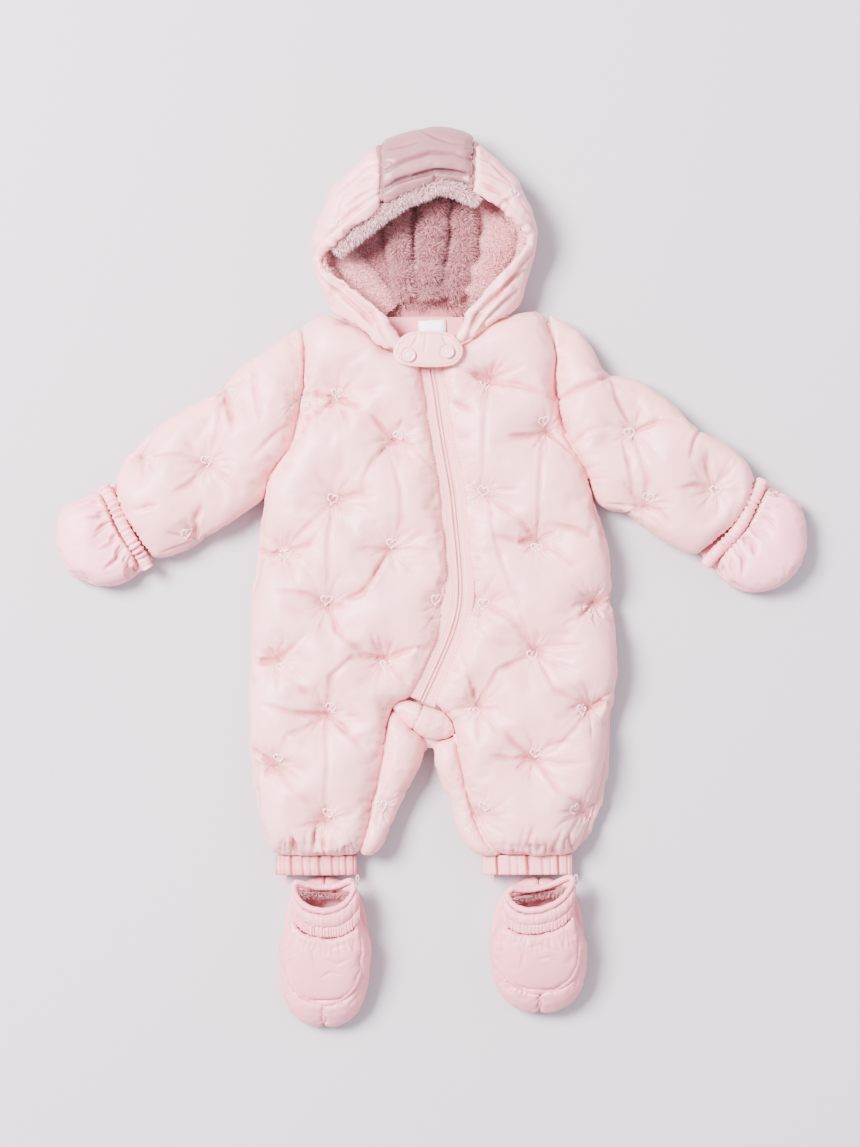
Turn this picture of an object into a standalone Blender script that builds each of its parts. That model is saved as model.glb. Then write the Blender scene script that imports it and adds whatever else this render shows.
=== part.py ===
# Quilted baby snowsuit, laid flat on its back with the hood open, and its two bootees below the legs.
# Every padded piece is its own closed solid. Left and right are as seen from the front: left is -X.
# The tables are in millimetres. X runs across, Y up the garment to the hood, Z off the surface it lies on.

import math

import bmesh
import bpy
from mathutils import Vector

MM = 0.001
TINY = 1e-6
GAP = 0.35  # between pieces that touch
SEAM = 0.5  # each panel's distance to the line of a curved seam

MID = 18.0  # height at which the front lies on the back
TORSO = 46.0  # height of the quilted front
EDGE = 2.0  # thickness of a panel at its rolled edge
BACK_ROLL = 16.0
TUFT_DEPTH = 13.0
TUFT_REACH = 13.0

SLEEVE_TOP = 44.0
SLEEVE_WALL = 15.0
SLIT = 1.6  # half height of the flat hollow in a sleeve or a cuff

ZIP_HALF = 10.0  # from the teeth to the edge of the front panel
COIL_HALF = 1.9
TAPE_TOP = 33.0
TAPE_THICK = 1.3
COIL_LOW = 2.2  # how far the teeth reach below the tape's face
COIL_HIGH = 0.9
SLIDER_SIZE = (8.0, 11.0, 5.0)
SLIDER_AT = (-1.0, 196.5, 37.0)

HOOD_WALL = 7.0
LINING_CLEAR = 2.2  # between the hood's wall and its lining

MITTEN_MID = 15.6  # height at which a mitten's front lies on its back

CUFF_LOW = 2.5
CUFF_HIGH = 25.0
CUFF_RIDGES = 12
CUFF_RIDGE_DEPTH = 1.1

SHELL = ("F0DCDD", 0.55)
SHELL_SHADE = ("E9CFD0", 0.55)
FUR = ("C99598", 0.95)
LINING = ("DDB9BA", 0.6)
TAPE = ("EBCFD1", 0.7)
COIL = ("E4C4C8", 0.45)
SNAP = ("EED9E0", 0.3)
LABEL = ("F4F1F6", 0.6)
ELASTIC = ("E6C6C7", 0.65)
SOLE = ("DDBCC0", 0.75)

# Outline of the body. Columns: x, y.
# The armhole runs from the shoulder to the armpit, and the side from there to the hem.
ARMHOLE_LEFT = (
    (-118, 227), (-113.5, 214), (-113, 198), (-113.5, 180), (-117, 160), (-120, 142),
    (-124.5, 120), (-132, 108), (-141, 101), (-146, 88), (-150, 71),
)
SIDE_LEFT = (
    (-150, 71), (-154, 46), (-156.5, 25), (-160, 0), (-163, -40), (-162.5, -73), (-165, -110),
    (-164.5, -150), (-160, -188), (-155, -218), (-149, -238), (-143, -248),
)
ARMHOLE_RIGHT = (
    (104, 239), (103.5, 226), (109, 212), (112.5, 202), (110, 188), (110.5, 172), (112.5, 158),
    (117, 134), (125, 120), (132, 110), (138, 97), (141, 86), (146, 72),
)
SIDE_RIGHT = (
    (146, 72), (152, 58), (158, 40), (162, 18), (164, -5), (163, -20), (166, -38), (168, -60),
    (167.5, -95), (164.5, -113), (160, -135), (157, -160), (153, -185), (147, -208), (139, -228),
    (131, -247),
)
# The back shows past the right side seam of the front.
BACK_RIGHT = (
    (146, 72), (152, 58), (158, 40), (162, 18), (164.5, -5), (164, -20), (167, -38), (169.5, -65),
    (168.5, -100), (166, -114), (163.5, -130), (163.5, -152), (161.5, -178), (157, -202), (149.5, -222),
    (141, -240), (132, -248),
)
ZIP = (
    (-1, 190), (3, 168), (8, 134), (13, 105), (17.5, 80), (20.5, 52), (23.5, 22), (25.2, -8),
    (23.5, -28), (17.5, -50), (7, -75), (-3.5, -98), (-9.5, -111),
)
INNER_SEAM_LEFT = (
    (-36.5, -115), (-40, -132), (-43, -155), (-48, -180), (-52.5, -202), (-57, -222), (-65, -249),
)
INNER_SEAM_RIGHT = (
    (22, -140), (25, -160), (28.5, -178), (33, -198), (38.5, -217), (47, -233), (62, -248),
)
LEG_INNER_LEFT = (
    (-5, -146), (-8, -160), (-15, -178), (-25, -195), (-30, -208), (-38, -221), (-43, -237), (-50, -247),
)
LEG_INNER_RIGHT = (
    (2, -151), (4.5, -166), (9, -185), (17.5, -197), (20, -208), (23.5, -224), (30, -237), (41, -248),
)
GUSSET_TOP = (
    (-35.5, -114.5), (-28, -110.5), (-20, -110), (-10, -113), (3, -117.5), (13, -123), (19, -131), (21, -139),
)
GUSSET_BOTTOM = (
    (-35.5, -114.5), (-30, -121.5), (-22, -131), (-12, -139), (-3, -144), (5, -145), (13, -143.5), (21, -139),
)
BACK_ROWS = 22
BACK_FORK = 17  # row at which the back divides into the legs
FRONT_ROWS = 28
GUSSET_SPLIT = 0.42  # share of the gusset left of its centre seam

# Quilting tufts. Columns: x, y.
TUFTS = (
    (-84, 162), (-34, 124), (-86, 70), (-134, 23), (-37, 26), (-92, -24), (-138, -73), (-42, -72),
    (-94, -122), (-141, -168), (-96, -218), (9, -23), (53, 180), (104, 132), (46, 76), (95, 34),
    (44, -23), (146, -22), (93, -65), (41, -114), (143, -116), (92, -162), (43, -213), (137, -211),
    (-121, 160), (-185, 169), (-202, 102), (-261, 109), (-212, 35), (181, 132), (191, 65), (255, 80),
    (-43, -205),
)

# Hood ribs, from the crown seam round to the front of the neck.
# Columns: brim, crest, shoulder, side, foot and end as (x, y, z), then the wall's thickness.
HOOD_LEFT = (
    ((-43, 331, 58), (-44, 348, 64), (-45, 376, 55), (-46, 391, 29), (-43, 378, 3), (-40, 364, 0), 7.0),
    ((-67, 312, 57), (-76, 326, 61), (-83, 344, 50), (-88, 351, 28), (-74, 340, 3), (-37, 334, 0), 7.0),
    ((-88, 294, 51), (-97, 301, 52), (-103, 308, 42), (-105, 309, 27), (-90, 306, 3), (-36, 306, 0), 6.0),
    ((-102, 282, 45), (-104, 282, 43), (-104, 283, 36), (-103, 284, 24), (-88, 284, 3), (-35, 284, 0), 3.5),
    ((-82, 267, 48), (-90, 265, 47), (-96, 264, 38), (-95, 265, 24), (-80, 266, 3), (-34, 266, 0), 5.5),
    ((-60, 251, 49), (-72, 249, 48), (-84, 248, 41), (-89, 249, 25), (-75, 252, 3), (-33, 252, 0), 6.5),
    ((-37, 231, 48), (-52, 230, 48), (-72, 238, 42), (-88, 242, 25), (-72, 244, 3), (-32, 244, 0), 6.5),
    ((-21, 204, 46), (-43, 205, 46), (-64, 225, 41), (-86, 237.5, 26), (-70, 238, 3), (-31, 238, 0), 5.5),
)
HOOD_RIGHT = (
    ((36, 345, 58), (36.5, 358, 64), (37, 380, 55), (39, 396, 29), (38, 382, 3), (31, 368, 0), 7.0),
    ((60, 328, 57), (67, 339, 61), (73, 350, 50), (77, 357, 28), (64, 346, 3), (28, 338, 0), 7.0),
    ((78, 312, 51), (86, 318, 52), (91, 321, 42), (93.5, 314, 27), (80, 310, 3), (27, 308, 0), 6.0),
    ((90, 302, 45), (91.5, 301, 43), (92.5, 299, 36), (90.5, 295, 24), (76, 290, 3), (26, 288, 0), 3.5),
    ((71, 282, 48), (78, 280, 47), (85, 279, 38), (86, 278, 24), (72, 274, 3), (25, 272, 0), 5.5),
    ((47, 255, 49), (60, 255, 48), (74, 257, 41), (82, 260, 25), (68, 259, 3), (24, 257, 0), 6.5),
    ((29, 233, 48), (44, 234, 48), (64, 243, 42), (79, 250, 25), (66, 248, 3), (23, 246, 0), 6.5),
    ((17, 206, 46), (33, 212, 46), (53, 227, 41), (77, 243.5, 26), (64, 241.5, 3), (22, 239.5, 0), 5.5),
)
# Middle of the crown, from the brim over the top and back under it. Columns: x, y, z.
HOOD_CROWN = ((7, 351, 58), (6, 363, 65), (2, 388, 57), (1, 404.5, 29), (1, 391, 3), (-2, 372, 0))

# Sleeve outlines. Columns: x, y.
SLEEVE_LEFT = {
    "upper": (
        (-118, 227), (-135, 218), (-152, 207), (-168, 197), (-180, 190), (-184, 180), (-194, 175),
        (-206, 170), (-222, 158), (-240, 146), (-257, 134), (-268, 121), (-277, 106), (-284, 90),
    ),
    "lower": (
        (-150, 71), (-160, 66), (-172, 58), (-186, 47), (-200, 38), (-210, 31), (-222, 25), (-236, 22),
        (-250, 19),
    ),
    "cuff": (
        (-284, 90), (-283, 78), (-280, 66), (-275, 56), (-269, 47), (-263, 37.5), (-257, 28), (-250, 19),
    ),
}
SLEEVE_RIGHT = {
    "upper": (
        (104, 239), (122, 231), (136, 221), (149, 209), (158, 198), (162, 184), (172, 187), (186, 183),
        (198, 176), (212, 166), (228, 157), (238, 150), (243, 136), (254, 132), (270, 121), (283, 108),
        (291, 90),
    ),
    "lower": (
        (146, 72), (152, 66), (162, 61), (173, 59.5), (180, 54), (192, 46), (204, 39), (216, 33), (229, 26),
        (241, 23),
    ),
    "cuff": ((291, 90), (289, 78), (285, 68), (279, 58), (271, 49), (262, 41), (252, 33), (241, 23)),
}

# Mittens. Columns: x, y.
# "band" is the gathered mouth of the front, and "near" is where the back joins the sleeve.
MITTEN_LEFT = {
    "near": (
        (-285.5, 88), (-284.5, 78), (-281.5, 66), (-276.5, 56), (-270.5, 46.5), (-264.5, 37), (-258.5, 27.5),
        (-252, 18),
    ),
    "band": ((-300, 79), (-296, 71), (-291, 61), (-287, 51), (-282, 41), (-276, 32), (-269.5, 22), (-264, 9)),
    "upper": ((-310, 75), (-322, 70)),
    "tip": ((-333, 64), (-338, 51), (-339, 36), (-336, 21), (-330, 9), (-321, 0)),
    "lower": ((-309, -3), (-298, -7.5), (-286, -6), (-274, -1.5)),
    "near_lower": ((-309, -3), (-298, -7.5), (-286, -6), (-274, -2), (-264, 6)),
}
MITTEN_RIGHT = {
    "near": (
        (293, 89), (290.5, 78), (286.5, 67.5), (280.5, 57), (272.5, 47.5), (263, 39.5), (253.5, 31.5),
        (243, 22),
    ),
    "band": ((305, 84), (300, 74), (294, 62), (288, 51), (281, 41), (273, 33), (265.5, 24), (257, 11)),
    "upper": ((313, 80), (324, 74)),
    "tip": ((334, 67), (338, 52), (339, 36), (337.5, 20), (332, 8), (322, -1)),
    "lower": ((309, -9), (294, -12), (278, -10.5), (265, -1)),
    "near_lower": ((309, -9), (294, -12), (278, -10.5), (264, 0), (253, 11)),
}

# Leg cuffs. Columns: x and y of the upper left, lower left, upper right and lower right corners.
CUFF_LEFT = ((-142, -250.5), (-139, -268), (-66, -250.5), (-67, -268))
CUFF_RIGHT = ((45, -250), (48, -267.5), (129, -250), (128, -267.5))

# One bootee, toe down, round from the toe by the outer side and the heel, and back by the inner side.
# Columns: sole x, y; throat x, y, z under the gathers; lip x, y, z of the mouth.
# The origin is at the back of the heel.
BOOTEE = (
    (0, -131, 1, -51, 45, 0, -27, 50),
    (-15, -128, -14, -48, 44, -14, -24, 48),
    (-27, -116, -21.5, -42, 42, -22, -18, 44),
    (-32.5, -97, -25, -36, 39, -26.5, -11, 39),
    (-34, -70, -27, -30, 36, -28, -6, 34),
    (-33, -43, -27, -23, 31, -25, -3, 31),
    (-28, -20, -22, -15, 23, -18, -4, 28.5),
    (-17, -6, -12, -10.5, 16, -9, -5.5, 27.5),
    (0, -2.5, 0, -9, 14, 0, -6, 27),
    (17, -6, 12, -10.5, 16, 9, -5.5, 27.5),
    (29, -20, 23, -15, 23, 17, -3.5, 28.5),
    (34.5, -43, 29.5, -23.5, 32, 25, -1, 31),
    (35.5, -68, 32, -32, 37, 27.5, -5, 34),
    (33, -95, 29, -40, 41, 27, -10, 39),
    (27, -115, 22, -46, 44, 22, -18, 44),
    (15, -128, 14, -50, 45, 14, -24, 48),
)
# Each bootee. Columns: name, x and y of its origin, mirror, width, length, slant of the mouth, height.
BOOTEES = (
    ("left", -96.5, -270, 1, 1.12, 1.02, 0.0, 1.0),
    ("right", 98, -271, -1, 1.2, 0.915, 0.20, 1.06),
)
SOLE_THICK = 5.0
BOOTEE_WALL = 5.0
VAMP_LOW = 0.52  # share of the way from sole to throat where the vamp's seam runs at the toe
VAMP_REACH = 0.21  # share of the way round, each side of the toe, that the vamp takes
THROAT_BAND = 0.4  # share of the neck of the bootee that the gathers take
BINDING = 2.6
BINDING_CLEAR = 1.8  # between the collar and the middle of the binding's own roll
NECK_STEPS = 20
LOOP_HEIGHT = 20.0

TAB_PLAN = (
    (-33.5, 199), (-31, 210), (-18, 220), (13.5, 220), (26, 210), (28.5, 201), (20, 190.5), (-3, 188.5),
    (-26, 191),
)
TAB_LOW = 48.5
TAB_HIGH = 51.5
SNAPS = (("left", -19.4, 199), ("right", 15, 202))
SNAP_RADIUS = 5.7
SNAP_HIGH = 2.4

LOOPS = (
    ("left_outer", -132.5, -272.5),
    ("left_inner", -66.5, -272.5),
    ("right_inner", 55, -272),
    ("right_outer", 131, -272),
)


# Curves and plans.


def curve(points):
    """A smooth curve through the points, as a function of the share of its length."""
    points = [Vector(p) for p in points]
    steps = [(b - a).length for a, b in zip(points, points[1:])]
    total = sum(steps)

    def slope(i):
        a = max(i - 1, 0)
        b = min(i + 1, len(points) - 1)
        return (points[b] - points[a]) / sum(steps[a:b])

    def at(share):
        want = min(max(share, 0.0), 1.0) * total
        i = 0
        while i < len(steps) - 1 and want > steps[i]:
            want -= steps[i]
            i += 1
        f = want / steps[i]
        a = points[i]
        b = points[i + 1]
        start = slope(i) * steps[i]
        stop = slope(i + 1) * steps[i]
        return (
            a * (2 * f**3 - 3 * f**2 + 1) + start * (f**3 - 2 * f**2 + f)
            + b * (3 * f**2 - 2 * f**3) + stop * (f**3 - f**2)
        )

    return at


def closed_curve(points):
    """A smooth closed curve through the points, with one point at each equal share."""
    points = [Vector(p) for p in points]
    count = len(points)

    def at(share):
        place = (share % 1.0) * count
        i = int(place)
        f = place - i
        before, a, b, after = (points[(i + k) % count] for k in (-1, 0, 1, 2))
        return (
            a * (2 * f**3 - 3 * f**2 + 1) + (b - before) / 2 * (f**3 - 2 * f**2 + f)
            + b * (3 * f**2 - 2 * f**3) + (after - a) / 2 * (f**3 - f**2)
        )

    return at


def through(values):
    """A smooth row of values at equal shares, as a function of the share."""
    count = len(values) - 1

    def at(share):
        place = min(max(share, 0.0), 1.0) * count
        i = min(int(place), count - 1)
        f = place - i
        a = values[i]
        b = values[i + 1]
        before = values[i - 1] if i else a * 2 - b
        after = values[i + 2] if i + 2 <= count else b * 2 - a
        return (
            a * (2 * f**3 - 3 * f**2 + 1) + (b - before) / 2 * (f**3 - 2 * f**2 + f)
            + b * (3 * f**2 - 2 * f**3) + (after - a) / 2 * (f**3 - f**2)
        )

    return at


def chain(first, second, split):
    """Two curves end to end: the first takes the share up to split."""

    def at(share):
        if share < split:
            return first(share / split)
        return second((share - split) / (1 - split))

    return at


def moved(line, dx, dy=0.0):
    """The curve, moved."""

    def at(share):
        return line(share) + Vector((dx, dy))

    return at


def straight(a, b):
    """A straight line between two points."""

    def at(share):
        return a.lerp(b, share)

    return at


def patch(left, right, top, bottom):
    """A plan bounded by four curves: u runs from left to right, v from top to bottom."""
    corners = ((left(0), right(0)), (left(1), right(1)))

    def at(u, v):
        flat = corners[0][0] * (1 - u) * (1 - v) + corners[0][1] * u * (1 - v)
        flat += corners[1][0] * (1 - u) * v + corners[1][1] * u * v
        return left(v) * (1 - u) + right(v) * u + top(u) * (1 - v) + bottom(u) * v - flat

    return at


def eased(share, strength=0.7):
    """Shares that lie closer together at both ends."""
    return share + strength * (share * share * (3 - 2 * share) - share)


# Heights.


def roll(distance, reach):
    """0 on a rolled edge, 1 from the reach inwards, along a quarter circle."""
    t = min(max(distance / reach, 0.0), 1.0)
    return math.sqrt(1 - (1 - t) ** 2)


def tuft_dip(x, y):
    """How far the nearest tufts pull the cloth down."""
    dip = 0.0
    for tx, ty in TUFTS:
        far = ((x - tx) ** 2 + (y - ty) ** 2) / TUFT_REACH**2
        if far < 9:
            dip += math.exp(-far)
    return min(dip, 1.0) * TUFT_DEPTH


def padded_top(plan, top, edges):
    """Height of a padded panel. Each edge gives its height and how far in the padding rounds up."""

    def at(u, v):
        here = plan(u, v)
        ends = {"left": plan(0, v), "right": plan(1, v), "top": plan(u, 0), "bottom": plan(u, 1)}
        height = top - tuft_dip(here.x, here.y)
        for side, (edge, reach) in edges.items():
            share = u if side in ("top", "bottom") else v
            low = edge(share) if callable(edge) else edge
            away = (here - ends[side]).length
            height = min(height, low + max(height - low, 0) * roll(away, reach))
        return height

    return at


def rolled_bottom(plan, reach, top):
    """Underside of a panel that lies on the surface and rolls up to its flat top at its edges."""

    def at(u, v):
        here = plan(u, v)
        away = min((here - end).length for end in (plan(0, v), plan(1, v), plan(u, 0), plan(u, 1)))
        return (top - EDGE) * (1 - roll(away, reach))

    return at


# Meshes.


def linear(value):
    """One sRGB channel as linear light."""
    return value / 12.92 if value <= 0.04045 else ((value + 0.055) / 1.055) ** 2.4


def paint(obj, finish):
    """A plain material in the piece's colour, given as sRGB hex, with its roughness."""
    hex_colour, roughness = finish
    material = bpy.data.materials.new(obj.name)
    material.use_nodes = True
    shader = material.node_tree.nodes["Principled BSDF"]
    channels = [linear(int(hex_colour[i : i + 2], 16) / 255) for i in (0, 2, 4)]
    shader.inputs["Base Color"].default_value = (*channels, 1.0)
    shader.inputs["Roughness"].default_value = roughness
    shader.inputs["Metallic"].default_value = 0.0
    obj.data.materials.append(material)


def add_piece(name, bm, finish):
    """Turns a bmesh in millimetres into a smooth object under the garment's empty."""
    bmesh.ops.recalc_face_normals(bm, faces=bm.faces[:])
    if bm.calc_volume(signed=True) < 0:
        bmesh.ops.reverse_faces(bm, faces=bm.faces[:])
    bmesh.ops.scale(bm, vec=(MM, MM, MM), verts=bm.verts[:])
    mesh = bpy.data.meshes.new(name)
    bm.to_mesh(mesh)
    bm.free()
    mesh.shade_smooth()
    mesh.set_sharp_from_angle(angle=math.radians(50))
    obj = bpy.data.objects.new(name, mesh)
    bpy.context.scene.collection.objects.link(obj)
    obj.parent = garment
    paint(obj, finish)
    return obj


def grid_mesh(across, along):
    """A unit grid, with u and v kept on its vertices through an extrusion."""
    bm = bmesh.new()
    bmesh.ops.create_grid(bm, x_segments=across, y_segments=along, size=0.5)
    u = bm.verts.layers.float.new("u")
    v = bm.verts.layers.float.new("v")
    for vert in bm.verts:
        vert[u] = vert.co.x + 0.5
        vert[v] = vert.co.y + 0.5
    return bm, u, v


def wall(name, outer, inner, across, along, finish, ease=0.7):
    """A closed wall between two surfaces, each a function of u and v."""
    bm, u, v = grid_mesh(across, along)
    grown = bmesh.ops.extrude_face_region(bm, geom=bm.faces[:])
    lifted = [item for item in grown["geom"] if isinstance(item, bmesh.types.BMVert)]
    base = [vert for vert in bm.verts if vert not in set(lifted)]
    for verts, surface in ((base, inner), (lifted, outer)):
        for vert in verts:
            vert.co = surface(eased(vert[u], ease), eased(vert[v], ease))
    return add_piece(name, bm, finish)


def panel(name, plan, low, high, across, along, finish=SHELL, ease=0.7):
    """A padded panel: low and high are heights, or functions of u and v."""

    def surface(height):
        def at(u, v):
            here = plan(u, v)
            return Vector((here.x, here.y, height(u, v) if callable(height) else height))

        return at

    return wall(name, surface(high), surface(low), across, along, finish, ease)


def tube(name, rings, finish):
    """A hollow tube from its rings of points: down the outside, round the end and back up the inside."""
    bm = bmesh.new()
    count = len(rings[0])
    order = bm.verts.layers.int.new("order")
    first = bmesh.ops.create_circle(bm, segments=count, radius=1.0)["verts"]
    for i, vert in enumerate(first):
        vert[order] = i
        vert.co = rings[0][i]
    start = bm.edges[:]
    edges = start
    for ring in rings[1:]:
        grown = bmesh.ops.extrude_edge_only(bm, edges=edges)["geom"]
        edges = [item for item in grown if isinstance(item, bmesh.types.BMEdge)]
        edges = [edge for edge in edges if all(v in grown for v in edge.verts)]
        for item in grown:
            if isinstance(item, bmesh.types.BMVert):
                item.co = ring[item[order]]
    bmesh.ops.bridge_loops(bm, edges=start + edges)
    return add_piece(name, bm, finish)


def normal_of(surface, u, v):
    """The surface's unit normal, by small steps along u and v."""
    step = 0.004
    across = surface(u + step, v) - surface(u - step, v)
    along = surface(u, v + step) - surface(u, v - step)
    return across.cross(along).normalized()


def part_of(surface, u_range, v_range, depth, side=1.0, pull=0.0):
    """A stretch of a surface, moved in by the depth; pull draws its edges in, as a seam does."""

    def at(u, v):
        u = 0.5 + (u - 0.5) * (1 - pull)
        v = 0.5 + (v - 0.5) * (1 - pull)
        u = u_range[0] + u * (u_range[1] - u_range[0])
        v = v_range[0] + v * (v_range[1] - v_range[0])
        inward = depth(u, v) if callable(depth) else depth
        return surface(u, v) - normal_of(surface, u, v) * inward * side

    return at


# Body and legs.


def hood_neck(ribs):
    """The neck seam at the front, from the shoulder to the zip, as a curve in plan."""
    rib = curve(ribs[-1][:6])

    def at(share):
        here = rib(0.40 * (1 - share))
        return Vector((here.x, here.y - 1.2))

    return at


def body():
    """The back, the two fronts, the inner legs and the crotch gusset."""

    def row_share(row):
        return eased(row / FRONT_ROWS)

    left_side = chain(curve(ARMHOLE_LEFT), curve(SIDE_LEFT), 0.34)
    right_side = chain(curve(ARMHOLE_RIGHT), curve(SIDE_RIGHT), 0.36)
    back_side = chain(curve(ARMHOLE_RIGHT), curve(BACK_RIGHT), 0.36)
    zip_line = curve(ZIP)
    centre = curve(((-2, 237), (0, 150), (0, 0), (-1, -100), (-1.5, -146)))
    back_top_left = curve(((-118, 227), (-104, 234), (-90, 236), (-70, 236.5), (-40, 237), (-2, 237)))
    back_top_right = curve(((-2, 237), (30, 238.5), (60, 240), (80, 240), (92, 241.5), (104, 239)))
    back_hem_left = curve(((-143, -248), (-100, -249.5), (-50, -247)))
    back_hem_right = curve(((41, -248), (90, -249), (132, -248)))

    fork = BACK_FORK / BACK_ROWS
    legs = [chain(centre, curve((centre(1), *inner)), fork) for inner in (LEG_INNER_LEFT, LEG_INNER_RIGHT)]
    halves = (
        patch(left_side, legs[0], back_top_left, back_hem_left),
        patch(legs[1], back_side, back_top_right, back_hem_right),
    )
    bm = bmesh.new()
    for outer, plan in enumerate(halves):
        half, u, v = grid_mesh(7, BACK_ROWS)
        grown = bmesh.ops.extrude_face_region(half, geom=half.faces[:])
        lifted = {item for item in grown["geom"] if isinstance(item, bmesh.types.BMVert)}
        middle = {vert for vert in half.verts if abs(vert[u] - 1 + outer) < TINY and vert[v] < fork + TINY}
        between = [face for face in half.faces if middle.issuperset(face.verts)]
        bmesh.ops.delete(half, geom=between, context="FACES")
        for vert in half.verts:
            pu = eased(vert[u])
            pv = vert[v]
            here = plan(pu, pv)
            ends = [plan(outer, pv), plan(pu, 0), plan(pu, 1)]
            if pv > fork:
                ends.append(plan(1 - outer, pv))
            away = min((here - end).length for end in ends)
            low = (MID - GAP - EDGE) * (1 - roll(away, BACK_ROLL))
            vert.co = (here.x, here.y, MID - GAP if vert in lifted else low)
        scratch = bpy.data.meshes.new("half")
        half.to_mesh(scratch)
        half.free()
        bm.from_mesh(scratch)
        bpy.data.meshes.remove(scratch)
    bmesh.ops.remove_doubles(bm, verts=bm.verts[:], dist=0.01)
    add_piece("back", bm, SHELL_SHADE)

    def shoulder_height(share):
        return MID + EDGE + 16 * min(max((share - 0.2) / 0.2, 0), 1)

    def mirrored_shoulder(share):
        return shoulder_height(1 - share)

    def outer_height(share):
        return 29 if share < 0.33 else MID + EDGE

    def inner_height(share):
        return TAPE_TOP - 1.5 if share < 0.72 else 30

    above_gusset = curve(((-19.8, -107.5), (-29, -107.8), (-37.5, -113.5)))
    left_inner = chain(
        chain(moved(zip_line, -ZIP_HALF), above_gusset, row_share(18) / row_share(20)),
        moved(curve(INNER_SEAM_LEFT), -SEAM),
        row_share(20),
    )
    neck_left = hood_neck(HOOD_LEFT)
    shoulder = curve(((-118, 227), (-104, 235), (-91, 237.5)))
    left_top = chain(
        chain(shoulder, straight(shoulder(1), neck_left(0)), 0.85),
        chain(neck_left, straight(neck_left(1), left_inner(0)), 0.85),
        0.32,
    )
    left_bottom = curve(((-143, -248), (-105, -249.5), (-65.5, -249)))
    left_plan = patch(left_side, left_inner, left_top, left_bottom)
    left_edges = {
        "left": (outer_height, 32),
        "right": (inner_height, 28),
        "top": (shoulder_height, 24),
        "bottom": (26, 24),
    }
    panel("front_left", left_plan, MID, padded_top(left_plan, TORSO, left_edges), 10, FRONT_ROWS)

    gusset_edge = curve(((0.5, -111), (4, -114.5), (13.5, -120.5), (21, -128.5), (23, -139)))
    right_inner = chain(
        chain(moved(zip_line, ZIP_HALF), gusset_edge, row_share(18) / row_share(21)),
        moved(curve(INNER_SEAM_RIGHT), SEAM + GAP),
        row_share(21),
    )
    neck_right = hood_neck(HOOD_RIGHT)

    def right_neck(share):
        return neck_right(1 - share)

    shoulder = curve(((88, 241.5), (96, 241.5), (104, 239)))
    right_top = chain(
        chain(straight(right_inner(0), right_neck(0)), right_neck, 0.12),
        chain(straight(right_neck(1), shoulder(0)), shoulder, 0.3),
        0.72,
    )
    right_bottom = curve(((63, -248), (95, -249), (131, -247)))
    right_plan = patch(right_inner, right_side, right_top, right_bottom)
    right_edges = {
        "left": (inner_height, 28),
        "right": (outer_height, 32),
        "top": (mirrored_shoulder, 24),
        "bottom": (26, 24),
    }
    panel("front_right", right_plan, MID, padded_top(right_plan, TORSO, right_edges), 10, FRONT_ROWS)

    inner_left = patch(
        moved(curve(INNER_SEAM_LEFT), SEAM),
        curve(LEG_INNER_LEFT),
        curve(((-35.2, -118.5), (-29.3, -124.5), (-21, -133.5), (-11, -141.5), (-5, -146))),
        curve(((-64, -249), (-57, -249.5), (-50, -247))),
    )
    inner_edges = {"left": (30, 14), "right": (MID + EDGE, 20), "top": (MID + 6, 18), "bottom": (26, 18)}
    panel("inner_leg_left", inner_left, MID, padded_top(inner_left, 40, inner_edges), 4, 11)

    inner_right = patch(
        curve(LEG_INNER_RIGHT),
        moved(curve(INNER_SEAM_RIGHT), -SEAM - GAP),
        curve(((2, -151), (8, -147.3), (15, -146), (21.1, -142.5))),
        curve(((41, -248), (50, -249.5), (60.5, -248))),
    )
    inner_edges = {"left": (MID + EDGE, 18), "right": (28, 12), "top": (MID + 6, 14), "bottom": (26, 18)}
    panel("inner_leg_right", inner_right, MID, padded_top(inner_right, 36, inner_edges), 4, 11)

    top = curve(GUSSET_TOP)
    bottom = curve(GUSSET_BOTTOM)
    for side, start, stop in (("left", 0.02, GUSSET_SPLIT - 0.006), ("right", GUSSET_SPLIT + 0.006, 0.98)):
        gusset(f"crotch_{side}", top, bottom, start, stop)


def gusset(name, top, bottom, start, stop):
    """One half of the crotch gusset, between its two edges."""

    def plan(u, v):
        share = start + u * (stop - start)
        return top(share).lerp(bottom(share), 0.04 + 0.92 * v)

    def high(u, v):
        share = start + u * (stop - start)
        crown = math.sin(math.pi * share) * math.sin(math.pi * (0.06 + 0.88 * v))
        return 26 + 11 * max(crown, 0)

    panel(name, plan, MID, high, 4, 4)


# Zip, tab and neck.


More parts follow.
